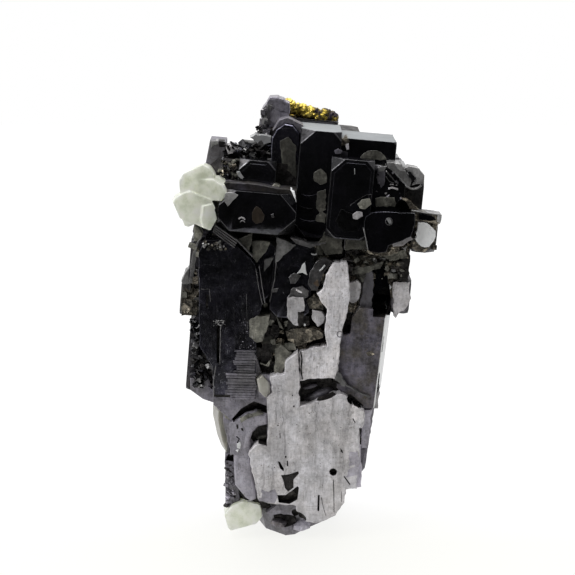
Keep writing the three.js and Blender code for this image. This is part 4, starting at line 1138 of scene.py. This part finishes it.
# Small crystals strewn over a zone: seed, number, two corners of the box that holds their middles,
# size, finishes, and where they differ, how far they turn and how thin they are.
HIGH_LOOKS = ("mirror", "violet", "veiled", "facet")
EDGE_LOOKS = ("granular", "olive", "facet")
GRAIN_ZONES = [
    (11, 170, (9.2, -8.9, 34), (13.2, -8.3, 38.8), 0.65,
     ("granular", "pit", "granular", "satin", "olive", "pit"), 40, 0.6),
    (12, 70, (5.8, -9.1, 34), (9.4, -8.5, 38.8), 0.65, ("granular", "pit", "olive", "pit"), 40, 0.6),
    (13, 320, (-13.7, -8.3, 19.6), (-11, -7.4, 28.4), 0.5, ("pit", "black", "satin", "dusky", "black"), 60,
     0.4),
    (14, 200, (-9.2, -6, 46.4), (-3.8, -5.1, 50.6), 0.6, ("pit", "black", "dusky", "pit", "satin", "mirror"),
     70, 0.25),
    (15, 60, (-5.4, -9, 22.4), (1.4, -8.2, 31.5), 1.2, ("olive", "granular", "pit")),
    (16, 34, (-5, -3, 51.4), (-4, -2.4, 55.2), 0.5, ("violet", "etched", "satin")),
    (17, 26, (14.3, -10.2, 38.2), (16.7, -9.8, 41.4), 0.8, ("granular", "olive", "granular")),
    (18, 40, (1.6, -9.3, 31), (3.6, -8.8, 38), 0.7, ("granular", "olive")),
    (19, 26, (-13.5, -8, 33.4), (-11.9, -7.6, 38.2), 0.6, EDGE_LOOKS),
    (22, 26, (-14.8, -6.9, 29), (-12.6, -6.4, 33), 0.6, EDGE_LOOKS),
    (20, 90, (-8, 8.5, 20), (8, 9.5, 44), 1.6, ("mirror", "facet", "veiled")),
    (23, 80, (-7.6, -10.42, 24.6), (-5.8, -10.39, 29.2), 0.08, ("violet", "facet", "violet"), 50),
    (24, 60, (-10.9, -10.42, 28.2), (-9.4, -10.38, 29), 0.09, ("satin", "satin", "etched"), 50),
    (31, 90, (-12.8, -3, 22), (-10.4, 7, 45), 1.5, HIGH_LOOKS),
    (32, 40, (-8.8, -4, 8), (-7.4, 4, 20), 1.2, LOW_LOOKS),
    (33, 70, (10.6, -3, 30), (12.2, 6, 45), 1.5, HIGH_LOOKS),
    (34, 40, (6, 0, 11), (7.8, 5, 25), 1.2, LOW_LOOKS),
    (35, 40, (-6, 6, 5), (5, 7.4, 20), 1.2, LOW_LOOKS),
    (36, 44, (-12.1, -10.5, 38), (-9, -10.35, 39.1), 0.25, ("satin", "facet", "granular", "pit"), 60),
    (37, 60, (-9.5, -9.1, 3.8), (-8.4, -8.9, 10.8), 0.4, ("violet", "pit", "lilac", "violet"), 40, 0.5),
    (26, 80, (-9.9, -7.7, 45.8), (-7.3, -7.1, 48.8), 0.5, ("pit", "olive", "dusky", "black", "granular"), 60,
     0.4),
    (27, 16, (-5.5, -3.4, 51.6), (-4.9, -2.8, 52.6), 0.25, ("black", "pit"), 50),
    (25, 46, (9.3, -10.95, 43.4), (12.4, -10.75, 48.4), 0.3, ("black", "facet", "violet", "black"), 60, 0.4),
    (21, 30, (-8, -9.7, 11.8), (-4.4, -9.3, 17), 0.35, ("violet", "pit")),
]

# The broken lower end, in x and y.
FOOT_OUTLINE = [(-4.4, -6.4), (-1.8, -9), (-0.6, -8.6), (0.3, -7.2), (2.7, -4.3), (4.9, -1.5), (5.4, 5),
    (-5.4, 6.4), (-6.3, 0)]
FOOT_HEIGHT = 5
FOOT_SPREAD = 1.22


def foot():
    """The broken end that the specimen stands on: flat below, wider above."""
    piece = sheet([(x, y, 0) for x, y in FOOT_OUTLINE], "violet")
    bpy.ops.mesh.extrude_region_move(TRANSFORM_OT_translate={"value": (0, 0, FOOT_HEIGHT)})
    bpy.ops.transform.resize(value=(FOOT_SPREAD, FOOT_SPREAD, 1), center_override=(0, 0, FOOT_HEIGHT))
    bpy.ops.mesh.select_all(action="SELECT")
    bpy.ops.mesh.normals_make_consistent(inside=False)
    edit_end()
    return store(piece, 0.4)


def breadth(outline):
    """About how broad a shape is: twice its area over its length round."""
    area = 0
    length = 0
    for (x, z), (next_x, next_z) in around(outline):
        area += (x * next_z - next_x * z) / 2
        length += math.hypot(next_x - x, next_z - z)
    return 2 * abs(area) / length


FLAKE_DEPTH = 2.4
FLAKE_TILT = 2.5
FLAKE_BREAK = 0.1
# A flake that is narrower than this doesn't turn.
NARROW = 0.4


def flakes(entries, first_seed):
    """Thin layers with broken edges, each turned a little its own way."""
    dice = random.Random(first_seed)
    found = []
    for index, (_, finish, tone, front, outline) in enumerate(entries):
        broad = breadth(outline)
        tilt = FLAKE_TILT if broad > NARROW else 0
        found.append(slab(outline, front, FLAKE_DEPTH, finish, rim=0.03, tone=tone,
                          break_up=min(FLAKE_BREAK, 0.2 * broad), seed=first_seed + index,
                          yaw=dice.uniform(-tilt, tilt), pitch=dice.uniform(-tilt, tilt)))
    return found


STRIPE_PITCH = 0.3


def striped_block(x, top, width, count, front, tone):
    """Thin cleavage sheets lying one on another, seen on edge."""
    dice = random.Random(count)
    sheets = []
    high = top
    for index in range(count):
        left = x + dice.uniform(-0.3, 0.3)
        right = x + width + dice.uniform(-0.15, 0.15)
        low = high - STRIPE_PITCH * dice.uniform(0.5, 1.3)
        outline = [(left, low), (right, low - 0.06), (right, high - 0.06), (left, high)]
        sheets.append(slab(outline, front - dice.uniform(0, 0.05), 0.5, "violet", rim=0.02,
                           tone=tone + dice.uniform(-0.2, 0.2), break_up=0.02, seed=index))
        high = low - dice.uniform(0.03, 0.1)
    return sheets


RIDGE_START = (-10.5, 41.2)
RIDGE_END = (-7.7, 39.2)
RIDGE_LOWER_END = [(-7.9, 39.4), (-5.9, 37.2)]
RIDGE_FRONT = -11.3
RIDGE_LINES = 4
RIDGE_PITCH = 0.28
RIDGE_WIDTH = 0.12


def ridge_lines():
    """The worn edge that runs down from the calcite to the tall face: thin parallel sheets."""
    lines = []
    for index in range(RIDGE_LINES):
        drop = RIDGE_PITCH * index
        start = (RIDGE_START[0] - 0.3 * drop, RIDGE_START[1] - drop)
        end = (RIDGE_END[0] - 0.5 * drop, RIDGE_END[1] - drop)
        line = band([start, end], RIDGE_WIDTH)
        lines.append(slab(line, RIDGE_FRONT + 0.1 * index, 3.2, "facet", rim=0.02, tone=1))
    lower = band(RIDGE_LOWER_END, RIDGE_WIDTH)
    lines.append(slab(lower, -11, 1.4, "facet", rim=0.02, tone=0.9))
    return lines


def hatch(x, z, count, pitch, shortest, longest, front):
    """Fine upright growth lines that start level and end at different heights."""
    dice = random.Random(count)
    lines = []
    for index in range(count):
        start = x + pitch * index + dice.uniform(-0.03, 0.03)
        tall = dice.uniform(shortest, longest)
        line = band([(start, z), (start - 0.02 * tall, z + tall)], dice.uniform(0.02, 0.05))
        lines.append(slab(line, front, 0.4, "dusky", rim=0, tone=dice.uniform(0.5, 1)))
    return lines


def etch_layers(outline, front, seed, count, x_range, z_range, tone):
    """Low ragged steps of etched cleavage, all inside the outline of one plate."""
    dice = random.Random(seed)
    layers = []
    for index in range(count):
        x = dice.uniform(*x_range)
        z = dice.uniform(*z_range)
        wide = dice.uniform(0.5, 1.6)
        tall = dice.uniform(2, 6)
        corners = [(x, z), (x + wide, z + 0.3), (x + wide + 0.2, z + tall), (x + 0.1, z + tall - 0.3)]
        layer = slab(corners, front - dice.uniform(0.03, 0.12), 0.5, rim=0.02,
                     tone=tone + dice.uniform(-0.06, 0.06), break_up=0.16, seed=seed + index)
        combine(layer, [slab(outline, front - 0.4, 1.5, rim=0, tone=tone)], "INTERSECT")
        if layer.data.polygons:
            layers.append(put_away(layer))
        else:
            bpy.data.objects.remove(layer)
    return layers


def galena():
    template = grain_template()
    blocks = [crystal(*one, finish="pit", facets=("pit",) * 4, rim=0) for one in HEART]
    blocks.append(foot())
    for *place, look in UPPER_CRYSTALS + MIDDLE_CRYSTALS:
        blocks.append(crystal(*place, **look))
    for *place, look in BACK_CRYSTALS:
        blocks.append(crystal(*place, facing=BACK, steps=2, step=0.06, **look))
    for one in FLANKS:
        blocks += flank(*one)
    for index, one in enumerate(PLATES):
        blocks.append(slab(seed=index, **one))
    for one in GRAIN_ZONES:
        blocks += grains(template, *one)
    for index, entries in enumerate((CROWN_FLAKES, MIDDLE_FLAKES, LEFT_FLAKES, LOWER_FLAKES), 1):
        blocks += flakes(entries, first_seed=100 * index)
    blocks += striped_block(x=-8.2, top=25.2, width=2.65, count=9, front=-10.75, tone=0.42)
    blocks += striped_block(x=-9.4, top=22.2, width=3.9, count=10, front=-10.6, tone=0.5)
    blocks += ridge_lines()
    blocks += hatch(x=-8.1, z=25.3, count=13, pitch=0.19, shortest=2, longest=8, front=-10.43)
    blocks += hatch(x=-12.1, z=26, count=9, pitch=0.35, shortest=1, longest=5, front=-10.43)
    blocks += etch_layers(LOWER_PLATE, -11, seed=31, count=22, x_range=(-6, 7), z_range=(4, 18), tone=0.4)
    blocks += etch_layers(UPPER_PLATE, -10.4, seed=32, count=8, x_range=(0, 5), z_range=(21, 32), tone=0.6)
    blocks.append(ring(10.85, 41.9, front=-12.63, radius=0.42, thickness=0.05, finish="facet", tone=0.9))
    blocks.append(ring(5, 27.2, front=-10.43, radius=0.36, thickness=0.05, finish="violet", tone=0.3))
    mass = fuse(blocks)
    bpy.data.objects.remove(template)
    # The cutters' pit finish goes onto the walls they leave: near-black, partly the openings' own dark and
    # partly painted shade in them.
    cutters = [slab(outline, front - SLIT_REACH, depth + SLIT_REACH, "pit", rim=0)
               for _, front, depth, outline in SLITS]
    cutters += [slab(arc(*hole, 0, 300, 5), HOLE_START, HOLE_DEPTH, "pit", rim=0) for hole in HOLES]
    cutters += [lump(*one) for one in HOLLOWS]
    combine(mass, cutters, "DIFFERENCE")
    combine(mass, [lump(*one) for one in KNOBS], "UNION")
    return mass


# Calcite

# Each crystal is the outline that it shows in x and z, cut from the front back and turned.
CLUSTER_RHOMBS = [
    dict(outline=[(-14.9, 46.8), (-14.3, 47.6), (-12, 48.65), (-11.2, 48.3), (-10.5, 47.3), (-11.2, 45),
     (-13.6, 44.2), (-14.8, 45.2)], front=-10.9, depth=4.9, pitch=-4),
    dict(outline=[(-12.7, 46.8), (-10.7, 46.9), (-9.6, 46.2), (-9.15, 45.3), (-9.3, 44.7), (-9.75, 44.2),
     (-10.8, 44.3), (-12.5, 44.6)], front=-11.3, depth=4, yaw=-10),
    dict(outline=[(-15.6, 44.2), (-15.05, 44.9), (-13.5, 45.5), (-10.9, 44.4), (-10.4, 43.4), (-11.4, 41.6),
     (-13.2, 41.4), (-14.8, 42.2)], front=-11.7, depth=5.2, pitch=-5, yaw=6),
    dict(outline=[(-11.9, 43.7), (-10.6, 43.9), (-10.1, 42), (-11, 40.6), (-11.9, 41), (-12.2, 42)],
     front=-11.8, depth=4.4, yaw=24),
    dict(outline=[(-15, 43), (-13.2, 42.2), (-13.2, 41.2), (-13.8, 40.9), (-14.3, 41), (-14.8, 42.2)],
     front=-10.8, depth=3.6, yaw=-14),
]
FOOT_RHOMBS = [
    dict(outline=[(-9.7, 3.25), (-8.6, 4.45), (-7.3, 5), (-5.1, 4.5), (-4.8, 2.95), (-5.6, 2), (-8.9, 1.15),
     (-9.25, 1.6)], front=-10.2, depth=5, yaw=3, pitch=-6),
]
SLIVER_RHOMBS = [
    dict(outline=[(-10.4, 16.8), (-10, 16.9), (-8.9, 15.6), (-9.1, 13.6), (-9.3, 10.9), (-9.9, 12.6),
     (-10.45, 15.4)], front=-8.8, depth=3.6, yaw=14),
]
CHIP_RHOMBS = [
    dict(outline=[(-5.4, 21.4), (-4.7, 21.9), (-3.8, 20.9), (-3.7, 19.6), (-4.3, 19), (-5.1, 19.8)],
     front=-10.8, depth=2.4, yaw=12),
]
CALCITE_VOXEL = 0.1
CALCITE_WEAR = 3


def calcite(rhombs, finish="cloudy calcite"):
    """Cleavage rhombs grown into each other, worn soft where they meet."""
    piece = fuse([slab(finish=finish, rim=0, **one) for one in rhombs])
    apply_step(piece, "REMESH", voxel_size=CALCITE_VOXEL)
    apply_step(piece, "SMOOTH", factor=0.5, iterations=CALCITE_WEAR)
    give_finish(piece, finish)
    return piece


# Chalcopyrite

CRUST_START = (-1.5, 0.9, 54.7)
CRUST_END = (4.2, 0.9, 53.2)
CRUST_ROWS = 3
CRUST_COLUMNS = 9
CRUST_ROW_PITCH = 1.4
CRUST_ROW_DROP = 0.25
CRUST_VOXEL = 0.11
CRUST_KNOB = 0.38
CRUST_RELIEF = 0.6


def crust():
    """A knobbly skin over the back of the summit."""
    dice = random.Random(5)
    knobs = []
    for row in range(CRUST_ROWS):
        for column in range(CRUST_COLUMNS):
            along = column / (CRUST_COLUMNS - 1)
            x, y, z = [start + (end - start) * along + dice.uniform(-0.2, 0.2)
                       for start, end in zip(CRUST_START, CRUST_END)]
            knobs.append(lump(x, y + CRUST_ROW_PITCH * row, z - CRUST_ROW_DROP * row ** 2,
                              dice.uniform(0.6, 0.9), wide=1.2, turn=15, finish="brass", detail=2))
    piece = fuse(knobs)
    apply_step(piece, "REMESH", voxel_size=CRUST_VOXEL)
    pattern = bpy.data.textures.new("knobs", "CLOUDS")
    pattern.noise_scale = CRUST_KNOB
    pattern.noise_depth = 3
    apply_step(piece, "DISPLACE", texture=pattern, strength=CRUST_RELIEF)
    give_finish(piece, "brass")
    drop_crumbs(piece)
    return piece


# Finishing and placing

SEAT_GAP = 0.03
SHARP_ANGLE = 25
SOFT_ANGLE = 40


def seat_cutter(piece):
    """A slightly larger copy of a grown-in piece, to cut its seat."""
    copy = piece.copy()
    copy.data = piece.data.copy()
    bpy.context.collection.objects.link(copy)
    edit_start(copy)
    bpy.ops.mesh.select_all(action="SELECT")
    bpy.ops.transform.shrink_fatten(value=SEAT_GAP)
    edit_end()
    return put_away(copy)


def finish_piece(piece, name, node, slot, smooth_angle):
    """Sets a piece to metres, shades it, names it and hides the part of its node."""
    only(piece)
    piece.scale = (MM, MM, MM)
    bpy.ops.object.transform_apply(location=True, rotation=True, scale=True)
    bpy.ops.object.material_slot_remove_unused()
    bpy.ops.object.shade_smooth_by_angle(angle=math.radians(smooth_angle))
    piece.name = name
    piece.data.name = name
    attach(piece, "root")
    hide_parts(node)


galena_mass = galena()
grown_in = [
    (calcite(CLUSTER_RHOMBS), "calcite_cluster", "calcite"),
    (calcite(FOOT_RHOMBS), "calcite_foot", "calcite"),
    (calcite(SLIVER_RHOMBS, "stained calcite"), "calcite_sliver", "calcite"),
    (calcite(CHIP_RHOMBS, "clear calcite"), "calcite_chip", "calcite"),
]
combine(galena_mass, [seat_cutter(piece) for piece, node, slot in grown_in], "DIFFERENCE")
drop_crumbs(galena_mass)
grown_in.append((crust(), "chalcopyrite_crust", "chalcopyrite"))
finish_piece(galena_mass, "galena_crystals", "galena", "galena", SHARP_ANGLE)
for piece, node, slot in grown_in:
    finish_piece(piece, node + "_grown", node, slot, SOFT_ANGLE)


# Studio

# The camera stands in front and looks down a little. Its place is in millimetres, its dip in degrees.
EYE_PLACE = (-1.57, -205.2, 74.6)
EYE_DIP = 12
EYE_LENS = 100
EYE_SENSOR = 36
FLOOR_SIZE = (1.2, 0.56, 1)
FLOOR_MIDDLE = (0, 0.2, 0)
FLOOR_SHADES = [(0.3, (0.07, 0.07, 0.068)), (0.7, (0.076, 0.076, 0.074))]
# Between these distances, counted back from the middle, the glow of the floor grows and turns white.
GLOW_START = -12
GLOW_END = 28
GLOW_SHADES = [(0, (1, 1, 0.965)), (0.4, (1, 1, 1))]
GLOW_RANGE = (0.84, 0.93)


def camera():
    lens = bpy.data.cameras.new("camera")
    lens.lens = EYE_LENS
    lens.sensor_width = EYE_SENSOR
    eye = bpy.data.objects.new("camera", lens)
    eye.location = [value * MM for value in EYE_PLACE]
    eye.rotation_euler = (math.radians(90 - EYE_DIP), 0, 0)
    bpy.context.collection.objects.link(eye)
    bpy.context.scene.camera = eye


def floor():
    piece = fresh(bpy.ops.mesh.primitive_plane_add, FLOOR_SIZE, size=1, location=FLOOR_MIDDLE)
    bpy.ops.object.transform_apply(location=True, rotation=False, scale=True)
    piece.name = "floor"
    # The floor's own colour is dark; its brightness is painted light, a glow that grows towards the back,
    # turns white and fills the shadows on it.
    material, tree, shader = new_material("glowing_table", 0)
    place = object_place(tree)
    mottle = noise(tree, place, size=40)
    plug(tree, shader["Base Color"], ramp(tree, mottle, FLOOR_SHADES))
    plug(tree, shader["Roughness"], map_range(tree, mottle, 0.3, 0.7, 0.6, 0.7))
    away = add_node(tree, "SeparateXYZ", {0: place}).outputs["Y"]
    glow_share = map_range(tree, away, GLOW_START * MM, GLOW_END * MM)
    plug(tree, shader["Emission Color"], ramp(tree, glow_share, GLOW_SHADES))
    plug(tree, shader["Emission Strength"], map_range(tree, glow_share, 0, 1, *GLOW_RANGE))
    piece.data.materials.append(material)


def world():
    """White all round, but dark on the side of the room that the front faces mirror."""
    sky = bpy.data.worlds.new("studio")
    bpy.context.scene.world = sky
    sky.use_nodes = True
    tree = sky.node_tree
    back = tree.nodes["Background"].inputs
    towards = add_node(tree, "TexCoord", {}).outputs["Generated"]
    front, down, side = [vector_maths(tree, "DOT_PRODUCT", towards, way, "Value")
                         for way in (FRONT, -TOP, LEFT)]
    lit = map_range(tree, front, 0.35, 0.8, 1, 0.02)
    above = map_range(tree, down, 0, 0.3, 1, 0.25)
    left = map_range(tree, side, -1, 1, 0.7, 0.95)
    level = multiply(tree, multiply(tree, lit, above), left)
    seen = add_node(tree, "LightPath", {}).outputs["Is Camera Ray"]
    plug(tree, back["Strength"], mix_value(tree, seen, level, 1))
    back["Color"].default_value = (1, 1, 1, 1)


def softbox(name, place, aim, size, power):
    light = bpy.data.lights.new(name, "AREA")
    light.shape = "RECTANGLE"
    light.size, light.size_y = size
    light.energy = power
    lamp = bpy.data.objects.new(name, light)
    lamp.location = place
    lamp.rotation_euler = (Vector(aim) - Vector(place)).to_track_quat("-Z", "Y").to_euler()
    bpy.context.collection.objects.link(lamp)


camera()
floor()
world()
softbox("overhead", place=(0, 0.1, 0.5), aim=(0, 0.02, 0.03), size=(0.5, 0.4), power=2.4)
softbox("left", place=(-0.4, -0.25, 0.35), aim=(0, 0, 0.03), size=(0.25, 0.25), power=1.6)
bpy.context.scene.view_settings.view_transform = "Standard"
